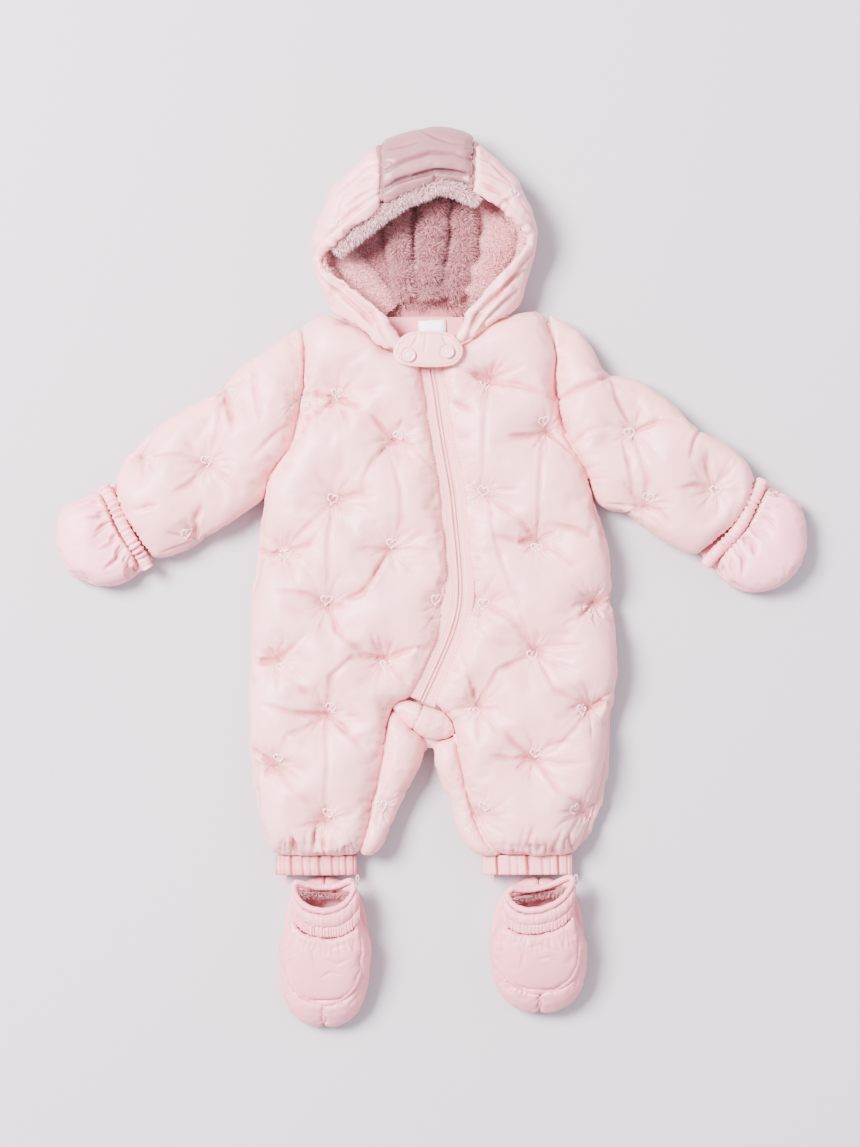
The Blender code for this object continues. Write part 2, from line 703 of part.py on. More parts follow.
def closure():
    """The zip, its slider under the tab, and the tab with its two snaps."""
    zip_line = curve(ZIP)

    def strip(near, far):
        """The plan between two distances from the zip's line."""
        left = moved(zip_line, near)
        right = moved(zip_line, far)
        return patch(left, right, straight(left(0), right(0)), straight(left(1), right(1)))

    left_tape = strip(GAP - ZIP_HALF, -COIL_HALF - GAP)
    right_tape = strip(COIL_HALF + GAP, ZIP_HALF - GAP)
    panel("zip_tape_left", left_tape, TAPE_TOP - TAPE_THICK, TAPE_TOP, 1, 18, TAPE)
    panel("zip_tape_right", right_tape, TAPE_TOP - TAPE_THICK, TAPE_TOP, 1, 18, TAPE)
    teeth = strip(-COIL_HALF, COIL_HALF)
    panel("zip_coil", teeth, TAPE_TOP - COIL_LOW, TAPE_TOP + COIL_HIGH, 2, 18, COIL)

    bm = bmesh.new()
    bmesh.ops.create_cube(bm, size=1.0)
    bmesh.ops.scale(bm, vec=SLIDER_SIZE, verts=bm.verts[:])
    bmesh.ops.bevel(bm, geom=bm.edges[:], offset=1.2, segments=2, profile=0.5, affect="EDGES", material=-1)
    bmesh.ops.translate(bm, vec=SLIDER_AT, verts=bm.verts[:])
    add_piece("zip_slider", bm, COIL)

    bm = bmesh.new()
    outline = closed_curve(TAB_PLAN)
    ring = bmesh.ops.create_circle(bm, cap_ends=True, segments=30, radius=1.0)["verts"]
    for i, vert in enumerate(ring):
        here = outline(i / len(ring))
        vert.co = (here.x, here.y, TAB_LOW)
    grown = bmesh.ops.extrude_face_region(bm, geom=bm.faces[:])
    lifted = [item for item in grown["geom"] if isinstance(item, bmesh.types.BMVert)]
    bmesh.ops.translate(bm, vec=(0, 0, TAB_HIGH - TAB_LOW), verts=lifted)
    add_piece("neck_tab", bm, SHELL)

    for side, x, y in SNAPS:
        bm = bmesh.new()
        bmesh.ops.create_cone(
            bm, cap_ends=True, segments=20, radius1=SNAP_RADIUS, radius2=SNAP_RADIUS - 0.8, depth=SNAP_HIGH
        )
        top_faces = [f for f in bm.faces if f.calc_center_median().z > SNAP_HIGH / 2 - 0.01]
        bmesh.ops.inset_region(bm, faces=top_faces, thickness=1.1, depth=-0.6)
        bmesh.ops.translate(bm, vec=(x, y, TAB_HIGH + GAP + SNAP_HIGH / 2), verts=bm.verts[:])
        add_piece(f"snap_{side}", bm, SNAP)


def neck():
    """The satin facing at the back of the neck, with its blank label."""
    facing = patch(
        straight(Vector((-30, 236)), Vector((-28, 219))),
        straight(Vector((21, 238)), Vector((20, 219))),
        curve(((-30, 236), (-4, 236.5), (21, 236))),
        curve(((-28, 219), (-4, 218), (20, 219))),
    )
    panel("neck_facing", facing, MID, MID + 3, 6, 3, SHELL_SHADE)
    label = patch(
        straight(Vector((-11.5, 232)), Vector((-10.5, 220))),
        straight(Vector((13, 234)), Vector((14, 222))),
        straight(Vector((-11.5, 232)), Vector((13, 234))),
        straight(Vector((-10.5, 220)), Vector((14, 222))),
    )
    panel("label", label, MID + 3 + GAP, MID + 4.6, 2, 2, LABEL)


# Hood.


def rib_surface(ribs):
    """The side of the hood: u runs round the brim from the crown, v along a rib and back under the head."""
    rows = [curve(rib[:6]) for rib in ribs]

    def at(u, v):
        here = through([row(v) for row in rows])(u)
        return Vector((here.x, here.y, max(here.z, 0)))

    return at


def wall_of(ribs, share):
    """Wall thickness along the brim, as a share of the table's."""
    thick = through([rib[6] for rib in ribs])

    def at(u, v):
        return thick(u) * share

    return at


def crown_surface():
    """The crown: u runs from the left seam to the right, v from the brim over the top and back underneath."""
    left = [Vector(p) for p in HOOD_LEFT[0][:6]]
    right = [Vector(p) for p in HOOD_RIGHT[0][:6]]
    middle = [Vector(p) for p in HOOD_CROWN]
    over = (curve(left), curve(middle), curve(right))
    left_under = curve([rib[5] for rib in HOOD_LEFT])
    right_under = curve([rib[5] for rib in HOOD_RIGHT])
    under = (left_under, straight(middle[-1], (left_under(1) + right_under(1)) / 2), right_under)
    split = 0.5

    def at(u, v):
        rows = [chain(a, b, split)(v) for a, b in zip(over, under)]
        here = rows[0] * (2 * u - 1) * (u - 1) + rows[1] * 4 * u * (1 - u) + rows[2] * u * (2 * u - 1)
        return Vector((here.x, here.y, max(here.z, 0)))

    return at


def hood():
    """Three outer panels, crown and sides, each with its lining inside."""
    left = rib_surface(HOOD_LEFT)
    right = rib_surface(HOOD_RIGHT)

    def crown_wall(u, v):
        return HOOD_WALL

    rows = (
        ("crown", "back", crown_surface(), crown_wall, 1.0, (0.006, 0.994), 0.975, 6, 16),
        ("side_left", "left", left, wall_of(HOOD_LEFT, 1.0), -1.0, (0.006, 1.0), 0.9, 12, 9),
        ("side_right", "right", right, wall_of(HOOD_RIGHT, 1.0), 1.0, (0.006, 1.0), 0.9, 12, 9),
    )
    for name, lining, form, thick, side, u_range, stop, across, along in rows:
        v_range = (0.0, 0.994)
        outer = part_of(form, u_range, v_range, 0.0, side)
        inner = part_of(form, u_range, v_range, thick, side, 0.05)
        wall(f"hood_{name}", outer, inner, across, along, SHELL, 0.3)

        def near(u, v, thick=thick):
            return thick(u, v) + LINING_CLEAR

        def far(u, v, thick=thick):
            return thick(u, v) * 1.5 + LINING_CLEAR

        if name == "crown":
            finish = FUR
            u_range = (0.07, 0.93)
            v_range = (0.02, stop)
        else:
            finish = LINING
            u_range = (0.04, stop - 0.04)
            v_range = (0.03, 0.94)
        outer = part_of(form, u_range, v_range, near, side)
        inner = part_of(form, u_range, v_range, far, side, 0.03)
        wall(f"hood_lining_{lining}", outer, inner, across * 2 // 3, along * 2 // 3, finish, 0.0)


# Sleeves and mittens.


def sleeve(name, armhole, spec):
    """A padded tube laid flat, between the armhole and the mitten."""
    start = moved(curve(armhole), -1.3 if name.endswith("left") else 3.5, 1.0)
    end = curve(spec["cuff"])
    plan = patch(start, end, curve((start(0), *spec["upper"][1:])), curve((start(1), *spec["lower"][1:])))
    around = 16
    stations = 9
    rings = []
    for inside in (False, True):
        for i in range(stations + 1):
            share = eased((stations - i if inside else i) / stations, 0.5)
            rings.append([section(plan, share, k / around, inside) for k in range(around)])
    tube(name, rings, SHELL)


def section(plan, share, turn, inside):
    """One point of a flattened sleeve section: turn goes from the upper edge over the top and back below."""
    angle = turn * 2 * math.pi
    across = (1 - math.cos(angle)) / 2
    lift = abs(math.sin(angle)) ** 0.75
    width = (plan(share, 1) - plan(share, 0)).length
    if inside:
        across = 0.5 + (across - 0.5) * (1 - 2 * SLEEVE_WALL / width)
        here = plan(share, across)
        height = MID + SLIT * lift * (1 if angle < math.pi else -1)
        return Vector((here.x, here.y, height))
    here = plan(share, across)
    from_armhole = (here - plan(0, across)).length
    from_cuff = (here - plan(1, across)).length
    if angle <= math.pi:
        peak = SLEEVE_TOP - MID
        peak *= 0.45 + 0.55 * min(roll(from_armhole, 26), roll(from_cuff, 22))
        height = MID + peak * lift - tuft_dip(here.x, here.y) * min(lift, 1)
        height = max(height, MID + 5 * lift)
    else:
        height = max(MID - 24 * lift * (0.6 + 0.4 * roll(from_armhole, 14)), 0)
    return Vector((here.x, here.y, height))


def mitten(side, spec):
    """The fold-over mitten: a back sewn to the sleeve, a front, and the gathered band along its mouth."""
    near = curve(spec["near"])
    band = curve(spec["band"])
    sign = -1 if side == "left" else 1
    tip = curve(spec["tip"])
    back = patch(
        near,
        tip,
        curve((spec["near"][0], spec["band"][0], *spec["upper"], spec["tip"][0])),
        curve((spec["near"][-1], *reversed(spec["near_lower"]), spec["tip"][-1])),
    )
    panel(f"mitten_back_{side}", back, rolled_bottom(back, 14, MITTEN_MID), MITTEN_MID, 8, 7)

    outer = moved(band, sign * SEAM)
    front = patch(
        outer,
        tip,
        curve((outer(0), *spec["upper"], spec["tip"][0])),
        curve((outer(1), *reversed(spec["lower"]), spec["tip"][-1])),
    )
    edges = {"left": (27, 14), "right": (MID, 26), "top": (MID, 18), "bottom": (MID, 18)}
    panel(f"mitten_front_{side}", front, MITTEN_MID + GAP, padded_top(front, 34, edges), 8, 8)

    inner = moved(near, sign * 2.2)
    outer = moved(band, -sign * GAP)
    strip = patch(inner, outer, straight(inner(0), outer(0)), straight(inner(1), outer(1)))

    def gathers(u, v):
        return 26 + 1.2 * math.cos(v * 2 * math.pi * 8)

    panel(f"mitten_elastic_{side}", strip, MITTEN_MID + GAP, gathers, 1, 24, ELASTIC, 0.0)


# Leg cuffs.


def leg_cuff(name, corners):
    """A ribbed elastic cuff, flattened, with its hollow."""
    top_left, low_left, top_right, low_right = (Vector(p) for p in corners)
    middle = (CUFF_LOW + CUFF_HIGH) / 2
    tall = (CUFF_HIGH - CUFF_LOW) / 2
    around = 40
    rings = []
    for inside, share in ((False, 0.0), (False, 1.0), (True, 1.0), (True, 0.0)):
        a = top_left.lerp(low_left, share)
        b = top_right.lerp(low_right, share)
        ring = []
        for k in range(around):
            angle = k / around * 2 * math.pi
            across = (1 - math.cos(angle)) / 2
            lift = math.copysign(abs(math.sin(angle)) ** 0.5, math.sin(angle))
            if inside:
                across = 0.5 + (across - 0.5) * 0.8
                height = middle + SLIT * lift
            else:
                ridge = math.cos(across * 2 * math.pi * CUFF_RIDGES) * CUFF_RIDGE_DEPTH * abs(lift)
                height = middle + (tall - 1.5 * math.cos(share * math.pi) ** 2) * lift + ridge
            here = a.lerp(b, across)
            ring.append(Vector((here.x, here.y, height)))
        rings.append(ring)
    tube(name, rings, ELASTIC)


# Bootees.


def bootee(name, x, y, mirror, width, length, slant, height):
    """One bootee: sole, two sides, vamp, gathered throat, collar, binding and lining."""

    def place(px, py, pz=0.0, lean=0.0):
        return Vector((x + px * mirror * width, y + py * length + lean * px * mirror * width, pz * height))

    sole = closed_curve([place(row[0], row[1], SOLE_THICK / height) for row in BOOTEE])
    throat = closed_curve([place(row[2], row[3], row[4], slant * 0.4) for row in BOOTEE])
    lip = closed_curve([place(row[5], row[6], row[7], slant) for row in BOOTEE])

    def foot(u, v):
        """u goes round from the toe; v climbs from the sole's edge to the throat."""
        low = sole(u)
        high = throat(u)
        angle = v * math.pi / 2
        flat = low.lerp(high, 1 - math.cos(angle))
        bulge = (low - high) * 0.10 * math.sin(2 * angle) * (1 - v)
        return Vector((flat.x + bulge.x, flat.y + bulge.y, low.z + (high.z - low.z) * math.sin(angle)))

    def neck_form(u, v):
        """The neck of the bootee, from the throat to the mouth."""
        return throat(u).lerp(lip(u), v)

    ring_steps = 24
    bottom = [Vector((p.x, p.y, 0)) for p in (sole(k / ring_steps) for k in range(ring_steps))]
    bm = bmesh.new()
    verts = bmesh.ops.create_circle(bm, cap_ends=True, segments=ring_steps, radius=1.0)["verts"]
    for vert, point in zip(verts, bottom):
        vert.co = point
    grown = bmesh.ops.extrude_face_region(bm, geom=bm.faces[:])
    lifted = [item for item in grown["geom"] if isinstance(item, bmesh.types.BMVert)]
    bmesh.ops.translate(bm, vec=(0, 0, SOLE_THICK - GAP), verts=lifted)
    add_piece(f"bootee_sole_{name}", bm, SOLE)

    def seam_height(u):
        """Where the side ends: low under the vamp, and at the throat round the heel."""
        away = abs((u + 0.5) % 1.0 - 0.5)
        t = min(max((away - VAMP_REACH + 0.075) / 0.085, 0), 1)
        return VAMP_LOW + (1 - VAMP_LOW) * t * t * (3 - 2 * t)

    def side_form(u, v):
        return foot(u, v * (seam_height(u) - 0.02))

    def vamp_form(u, v):
        low = min(seam_height(u) + 0.03, 0.97)
        return foot(u, low + (1 - low) * v)

    side = -mirror
    for part, u_range in (("side_outer", (0.004, 0.497)), ("side_inner", (0.503, 0.996))):
        outer = part_of(side_form, u_range, (0, 1), 0.0, side)
        inner = part_of(side_form, u_range, (0.02, 1), BOOTEE_WALL, side, 0.08)
        wall(f"bootee_{part}_{name}", outer, inner, 12, 4, SHELL, 0.2)
    u_range = (-VAMP_REACH + 0.02, VAMP_REACH - 0.02)
    outer = part_of(vamp_form, u_range, (0, 1), 0.0, side)
    inner = part_of(vamp_form, u_range, (0, 1), BOOTEE_WALL, side, 0.12)
    wall(f"bootee_vamp_{name}", outer, inner, 10, 4, SHELL, 0.2)

    def top_share(u):
        return 1 - (BINDING + BINDING_CLEAR) / (lip(u) - throat(u)).length

    def lining_top(u):
        return top_share(u) - 0.15

    def ring(v_of, depth):
        points = []
        for k in range(NECK_STEPS):
            u = k / NECK_STEPS
            points.append(neck_form(u, v_of(u)) - normal_of(neck_form, u, v_of(u)) * side * depth)
        return points

    def fixed(share):
        return lambda u: share

    def between(share):
        return lambda u: THROAT_BAND + 0.03 + (top_share(u) - THROAT_BAND - 0.03) * share

    heights = (0.06, THROAT_BAND - 0.02)
    rings = [ring(fixed(v), 0.0) for v in heights]
    rings += [ring(fixed(v), 2.6) for v in reversed(heights)]
    tube(f"bootee_elastic_{name}", rings, ELASTIC)
    rings = [ring(between(v), -1.2 * math.sin(math.pi * v)) for v in (0.0, 0.5, 1.0)]
    rings += [ring(between(v), 2.6) for v in (1.0, 0.0)]
    tube(f"bootee_collar_{name}", rings, SHELL)
    rings = [ring(lining_top, 5.7), ring(fixed(0.24), 5.5), ring(fixed(0.24), 7.2), ring(lining_top, 7.4)]
    tube(f"bootee_lining_{name}", rings, FUR)

    rings = []
    for i in range(6):
        angle = i / 6 * 2 * math.pi
        points = []
        for k in range(NECK_STEPS):
            u = k / NECK_STEPS
            rise = (lip(u) - throat(u)).normalized()
            inward = normal_of(neck_form, u, 1.0) * side
            middle = lip(u) - inward * 2.0
            middle += rise * BINDING * math.sin(angle)
            points.append(middle + inward * BINDING * math.cos(angle))
        rings.append(points)
    tube(f"bootee_binding_{name}", rings, SHELL)


def loop(name, x, y):
    """A short tape that ties a leg cuff to its bootee."""
    bm = bmesh.new()
    bmesh.ops.create_cube(bm, size=1.0)
    bmesh.ops.scale(bm, vec=(3.0, 7.0, 1.2), verts=bm.verts[:])
    bmesh.ops.bevel(bm, geom=bm.edges[:], offset=0.35, segments=1, profile=0.5, affect="EDGES", material=-1)
    bmesh.ops.translate(bm, vec=(x, y, LOOP_HEIGHT), verts=bm.verts[:])
    add_piece(f"bootee_loop_{name}", bm, SHELL_SHADE)


# The whole garment.

for old in list(bpy.data.objects):
    bpy.data.objects.remove(old, do_unlink=True)
garment = bpy.data.objects.new("garment", None)
bpy.context.scene.collection.objects.link(garment)

body()
closure()
neck()
hood()
sleeve("sleeve_left", ARMHOLE_LEFT, SLEEVE_LEFT)
sleeve("sleeve_right", ARMHOLE_RIGHT, SLEEVE_RIGHT)
mitten("left", MITTEN_LEFT)
mitten("right", MITTEN_RIGHT)
leg_cuff("leg_cuff_left", CUFF_LEFT)
leg_cuff("leg_cuff_right", CUFF_RIGHT)
for row in BOOTEES:
    bootee(*row)
for row in LOOPS:
    loop(*row)

# The origin is the middle of the outline, on the surface that the garment lies on.
corners = [vert.co for obj in garment.children for vert in obj.data.vertices]
centre = [(min(c[i] for c in corners) + max(c[i] for c in corners)) / 2 for i in (0, 1)]
garment.location = (-centre[0], -centre[1], -min(c.z for c in corners))
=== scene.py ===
# The looks of a quilted baby snowsuit laid flat, with its two bootees. Left is -X, as seen from the front.
# Padded panels are copied from the frame, remeshed, swelled by cloth pressure, creased and stitched.

import math
import random

import bmesh
import bpy
import numpy as np
from mathutils import Matrix, Vector, noise
from mathutils.bvhtree import BVHTree


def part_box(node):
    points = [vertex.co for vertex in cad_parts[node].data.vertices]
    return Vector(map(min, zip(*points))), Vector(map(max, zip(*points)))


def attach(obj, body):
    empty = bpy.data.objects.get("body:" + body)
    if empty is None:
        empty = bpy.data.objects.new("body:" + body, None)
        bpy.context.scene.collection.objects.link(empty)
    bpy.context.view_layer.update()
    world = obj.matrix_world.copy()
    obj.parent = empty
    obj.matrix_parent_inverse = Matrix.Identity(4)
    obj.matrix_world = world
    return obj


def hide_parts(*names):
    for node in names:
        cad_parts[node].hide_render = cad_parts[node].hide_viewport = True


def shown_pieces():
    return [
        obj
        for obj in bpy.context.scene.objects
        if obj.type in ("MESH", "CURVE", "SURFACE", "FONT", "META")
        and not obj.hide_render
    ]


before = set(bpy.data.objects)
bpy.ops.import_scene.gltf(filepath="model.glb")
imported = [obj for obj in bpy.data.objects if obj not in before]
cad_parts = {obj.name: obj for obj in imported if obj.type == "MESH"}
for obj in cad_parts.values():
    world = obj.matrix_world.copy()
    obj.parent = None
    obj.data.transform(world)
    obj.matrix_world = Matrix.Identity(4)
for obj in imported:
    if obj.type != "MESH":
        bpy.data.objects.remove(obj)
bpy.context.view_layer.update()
scene = bpy.context.scene
mm = 0.001
tiny = 1e-9
tableGap = 0.3 * mm
sides = ("left", "right")

# The patterns below are drawn in millimetres about the frame's own middle. The left snap fixes their height.
snapHeight = 199
snapLow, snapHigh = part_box("snap_left")
patternY = (snapLow.y + snapHigh.y) / 2 - snapHeight * mm


def at(x, y, z=0.0):
    return Vector((x * mm, y * mm + patternY, z * mm))


def linear(hexColour):
    channels = [int(hexColour[i : i + 2], 16) / 255 for i in (0, 2, 4)]
    return (*[c / 12.92 if c <= 0.04045 else ((c + 0.055) / 1.055) ** 2.4 for c in channels], 1.0)


def addNode(tree, kind, inputs=None, **settings):
    # an input is a plain value, a socket, or a node that gives its first output
    node = tree.nodes.new(kind)
    for key, value in settings.items():
        setattr(node, key, value)
    for key, value in (inputs or {}).items():
        source = value.outputs[0] if isinstance(value, bpy.types.Node) else value
        if isinstance(source, bpy.types.NodeSocket):
            tree.links.new(source, node.inputs[key])
        else:
            node.inputs[key].default_value = source
    return node


def newMaterial(name, roughness, **sockets):
    material = bpy.data.materials.new(name)
    material.use_nodes = True
    tree = material.node_tree
    shader = tree.nodes["Principled BSDF"]
    shader.inputs["Roughness"].default_value = roughness
    for key, value in sockets.items():
        shader.inputs[key.replace("_", " ")].default_value = value
    place = addNode(tree, "ShaderNodeTexCoord").outputs["Object"]
    return material, tree, shader, place


# streaks in the cloth round a tuft, in millimetres: where they fade out, their depth and how they wander
streaks = {"start": 2.5, "reach": 33, "depth": 3.4, "turns": 1.25, "drift": 55}


def tinted(tree, shader, share, first, last):
    # the surface runs from the first colour to the last
    colour = addNode(tree, "ShaderNodeMix", {"Factor": share, 6: linear(first), 7: linear(last)},
                     data_type="RGBA")
    tree.links.new(colour.outputs[2], shader.inputs["Base Color"])


def cloth(name, light, foldShade, roughness, thread, grain, sheen, weaveDepth=0.03, crumple=9.0,
          crumpleDepth=0.28):
    # light is the flat of the cloth, and the deeper fold colour is painted shade in its hollows; sizes in
    # millimetres.
    # taffeta's own threads, 0.1 mm apart, are too fine to show, so thread is drawn coarser
    material, tree, shader, place = newMaterial(
        name, roughness, Sheen_Weight=sheen, Sheen_Roughness=0.45, Specular_IOR_Level=0.35,
        Sheen_Tint=linear("F4B4B8"),
    )
    tone = addNode(tree, "ShaderNodeTexNoise", {"Vector": place, "Scale": 1 / (grain * mm), "Detail": 3.0})
    # painted shade: the fold colour goes where the surface lies low, by the share kept on each point; the
    # noise adds random patches of it as tone
    hollow = addNode(tree, "ShaderNodeAttribute", attribute_name="hollow").outputs["Fac"]
    patch = addNode(tree, "ShaderNodeMapRange", {"Value": tone, "From Min": 0.3, "From Max": 0.75,
                                                 "To Min": 0.0, "To Max": 0.22})
    share = addNode(tree, "ShaderNodeMath", {0: hollow, 1: patch}, operation="ADD", use_clamp=True)
    tinted(tree, shader, share, light, foldShade)
    # threads across and along; a band of the wave texture is 0.314 wide at scale 1
    bands = {"Vector": place, "Scale": 0.314 / (thread * mm), "Distortion": 0.4}
    warp, weft = (addNode(tree, "ShaderNodeTexWave", bands, bands_direction=way) for way in "XY")
    weave = addNode(tree, "ShaderNodeMath", {0: warp.outputs["Fac"], 1: weft.outputs["Fac"]},
                    operation="MULTIPLY")
    weaveBump = addNode(tree, "ShaderNodeBump", {"Height": weave, "Distance": weaveDepth * mm,
                                                 "Strength": 0.6})
    soft = addNode(tree, "ShaderNodeTexNoise", {"Vector": place, "Scale": 1 / (crumple * mm), "Detail": 4.0,
                                                "Roughness": 0.55})
    softBump = addNode(tree, "ShaderNodeBump", {"Height": soft, "Distance": crumpleDepth * mm,
                                                "Strength": 1.0, "Normal": weaveBump})
    # fine streaks that run out from each tuft and fade within a few centimetres
    away = addNode(tree, "ShaderNodeAttribute", attribute_name="fromTuft").outputs["Vector"]
    far = addNode(tree, "ShaderNodeAttribute", attribute_name="tuftGap").outputs["Fac"]
    heading = addNode(tree, "ShaderNodeVectorMath", {0: away}, operation="NORMALIZE")
    turned = addNode(tree, "ShaderNodeVectorMath", {0: heading, "Scale": streaks["turns"]}, operation="SCALE")
    drift = addNode(tree, "ShaderNodeVectorMath", {0: place, "Scale": 1 / (streaks["drift"] * mm)},
                    operation="SCALE")
    where = addNode(tree, "ShaderNodeVectorMath", {0: turned, 1: drift}, operation="ADD")
    streak = addNode(tree, "ShaderNodeTexNoise", {"Vector": where, "Scale": 1.5, "Detail": 3.0,
                                                  "Roughness": 0.6})
    fade = addNode(tree, "ShaderNodeMapRange",
                   {"Value": far, "From Min": streaks["start"] * mm, "From Max": streaks["reach"] * mm,
                    "To Min": 1.0, "To Max": 0.0}, interpolation_type="SMOOTHERSTEP")
    known = addNode(tree, "ShaderNodeMath", {0: far, 1: 0.05 * mm}, operation="GREATER_THAN")
    kept = addNode(tree, "ShaderNodeMath", {0: fade, 1: known}, operation="MULTIPLY")
    pucker = addNode(tree, "ShaderNodeMath", {0: streak, 1: kept}, operation="MULTIPLY")
    puckerBump = addNode(tree, "ShaderNodeBump", {"Height": pucker, "Distance": streaks["depth"] * mm,
                                                  "Strength": 1.0, "Normal": softBump})
    tree.links.new(puckerBump.outputs[0], shader.inputs["Normal"])
    return material


def plush(name, root, tip, roughness, sheen):
    # pile whose colour runs from its roots to its tips: the dark roots are painted shade where the pile is
    # dense, the tips pale
    material, tree, shader, place = newMaterial(name, roughness, Sheen_Weight=sheen, Specular_IOR_Level=0.2)
    tone = addNode(tree, "ShaderNodeTexNoise", {"Vector": place, "Scale": 1 / (7 * mm), "Detail": 3.0})
    # painted shade: the root colour darkens each blade towards its root
    reach = addNode(tree, "ShaderNodeAttribute", attribute_name="reach").outputs["Fac"]
    spread = addNode(tree, "ShaderNodeMapRange", {"Value": tone, "From Min": 0.3, "From Max": 0.7,
                                                  "To Min": -0.18, "To Max": 0.18})
    share = addNode(tree, "ShaderNodeMath", {0: reach, 1: spread}, operation="ADD", use_clamp=True)
    tinted(tree, shader, share, root, tip)
    fluff = addNode(tree, "ShaderNodeTexNoise", {"Vector": place, "Scale": 1 / (1.1 * mm), "Detail": 4.0})
    bump = addNode(tree, "ShaderNodeBump", {"Height": fluff, "Distance": 0.9 * mm, "Strength": 0.8})
    tree.links.new(bump.outputs[0], shader.inputs["Normal"])
    return material


def plastic(name, colour, roughness):
    # injection moulded acetal: even colour, a soft gloss and the faintest orange peel
    material, tree, shader, place = newMaterial(name, roughness, Base_Color=linear(colour), IOR=1.48)
    peel = addNode(tree, "ShaderNodeTexNoise", {"Vector": place, "Scale": 1 / (1.6 * mm)})
    bump = addNode(tree, "ShaderNodeBump", {"Height": peel, "Distance": 0.02 * mm})
    tree.links.new(bump.outputs[0], shader.inputs["Normal"])
    return material


def threads(name, light, shade, roughness):
    # spun thread: bright along its length, with a darker ply here and there
    material, tree, shader, place = newMaterial(name, roughness, Sheen_Weight=0.4, Specular_IOR_Level=0.6)
    tone = addNode(tree, "ShaderNodeTexNoise", {"Vector": place, "Scale": 1 / (0.9 * mm)})
    tinted(tree, shader, tone, light, shade)
    return material


looks = {
    # polyester taffeta with a satin face: a low broad sheen; the deeper pink in its folds is painted shade
    "shell": cloth("polyester satin", "EEA8AD", "D07880", 0.42, 0.7, 60, 0.15),
    # the crown panel's darker colour is painted shade: it stands in for less light coming off the satin on
    # this panel
    "crown": cloth("polyester satin, cross grain", "97646B", "744850", 0.36, 0.7, 60, 0.1),
    "mitten": cloth("polyester satin, mitten", "EFA2AF", "D27C88", 0.42, 0.7, 50, 0.15),
    "back": cloth("polyester taffeta, back", "E8A4A8", "D88C92", 0.55, 0.7, 60, 0.2),
    "facing": cloth("satin facing", "DB868F", "C8757E", 0.45, 0.6, 30, 0.2, crumpleDepth=0.08),
    "elastic": cloth("satin over elastic", "E898A0", "CC7C84", 0.5, 0.7, 30, 0.2, crumple=4.0),
    "bootee": cloth("polyester satin, bootee", "E4909E", "C8707E", 0.44, 0.7, 30, 0.15, crumple=6.0),
    "sole": cloth("quilted sole cloth", "E0909C", "CA7680", 0.6, 0.9, 20, 0.2),
    "tape": cloth("woven zip tape", "E79CA2", "D4868C", 0.6, 0.9, 20, 0.15, weaveDepth=0.08,
                  crumpleDepth=0.03),
    "label": cloth("woven label satin", "ECE8F6", "DAD5E2", 0.35, 0.5, 10, 0.1, crumpleDepth=0.03),
    "fleece": cloth("short fleece", "DE989E", "CC7C84", 0.85, 1.4, 12, 0.5, weaveDepth=0.3, crumple=2.2,
                    crumpleDepth=0.55),
    # the fur is darkened as painted shade deep in the hood and bootees; the same lining is painted lighter
    # where it is lit under the brim
    "fur": plush("plush fur", "AE626A", "C9848B", 0.8, 0.4),
    "napFur": plush("short plush nap", "D88C94", "EEB2B8", 0.85, 0.4),
    "paintedLitFur": plush("pale plush fur", "DC9CA3", "F0C8CE", 0.8, 0.4),
    "coil": plastic("acetal zip coil", "E49CA2", 0.4),
    "snap": plastic("acetal snap", "EDB0B8", 0.3),
    "hearts": threads("rayon embroidery", "F7D6DB", "EDB6BE", 0.35),
    "stitches": threads("polyester thread", "D88078", "C06C66", 0.5),
    "seams": threads("polyester thread, pale", "E0949A", "CC8086", 0.55),
}
print("materials:", len(looks))


def readVectors(items, key):
    values = np.empty(len(items) * 3, np.float32)
    items.foreach_get(key, values)
    return values.reshape(-1, 3).astype(float)


def coordinates(mesh):
    return readVectors(mesh.vertices, "co")


def normals(mesh):
    return readVectors(mesh.vertex_normals, "vector")


def setCoordinates(mesh, points):
    mesh.vertices.foreach_set("co", points.astype(np.float32).ravel())
    mesh.update()


def evaluated(obj):
    graph = bpy.context.evaluated_depsgraph_get()
    return bpy.data.meshes.new_from_object(obj.evaluated_get(graph))


def keepValues(mesh, name, kind, key, values):
    # an attribute with one value, or one vector, for each point
    layer = mesh.attributes.new(name, kind, "POINT")
    layer.data.foreach_set(key, values.astype(np.float32).ravel())


def newMesh(name, bm):
    mesh = bpy.data.meshes.new(name)
    bm.to_mesh(mesh)
    bm.free()
    return mesh


def newObject(name, data):
    obj = bpy.data.objects.new(name, data)
    scene.collection.objects.link(obj)
    return obj


def addPiece(name, bm, look, stands=()):
    mesh = newMesh(name, bm)
    mesh.shade_smooth()
    mesh.materials.append(looks[look])
    obj = newObject(name, mesh)
    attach(obj, "root")
    if stands:
        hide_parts(*stands)
    return obj


def cadCopy(*names):
    bm = bmesh.new()
    for name in names:
        bm.from_mesh(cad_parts[name].data)
    bmesh.ops.remove_doubles(bm, verts=bm.verts[:], dist=0.02 * mm)
    return bm


def applied(obj, kind, **settings):
    modifier = obj.modifiers.new(kind.lower(), kind)
    for key, value in settings.items():
        setattr(modifier, key, value)
    mesh = evaluated(obj)
    obj.modifiers.remove(modifier)
    old = obj.data
    obj.data = mesh
    bpy.data.meshes.remove(old)


def relax(obj, rounds, factor=0.5):
    bm = bmesh.new()
    bm.from_mesh(obj.data)
    for _ in range(rounds):
        bmesh.ops.smooth_vert(bm, verts=bm.verts[:], factor=factor, use_axis_x=True, use_axis_y=True,
                              use_axis_z=True)
    bm.to_mesh(obj.data)
    bm.free()
    obj.data.update()


def neighbours(*own):
    points = []
    faces = []
    for name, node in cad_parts.items():
        if name in own:
            continue
        first = len(points)
        points += [v.co.copy() for v in node.data.vertices]
        faces += [tuple(first + i for i in p.vertices) for p in node.data.polygons]
    return BVHTree.FromPolygons(points, faces)


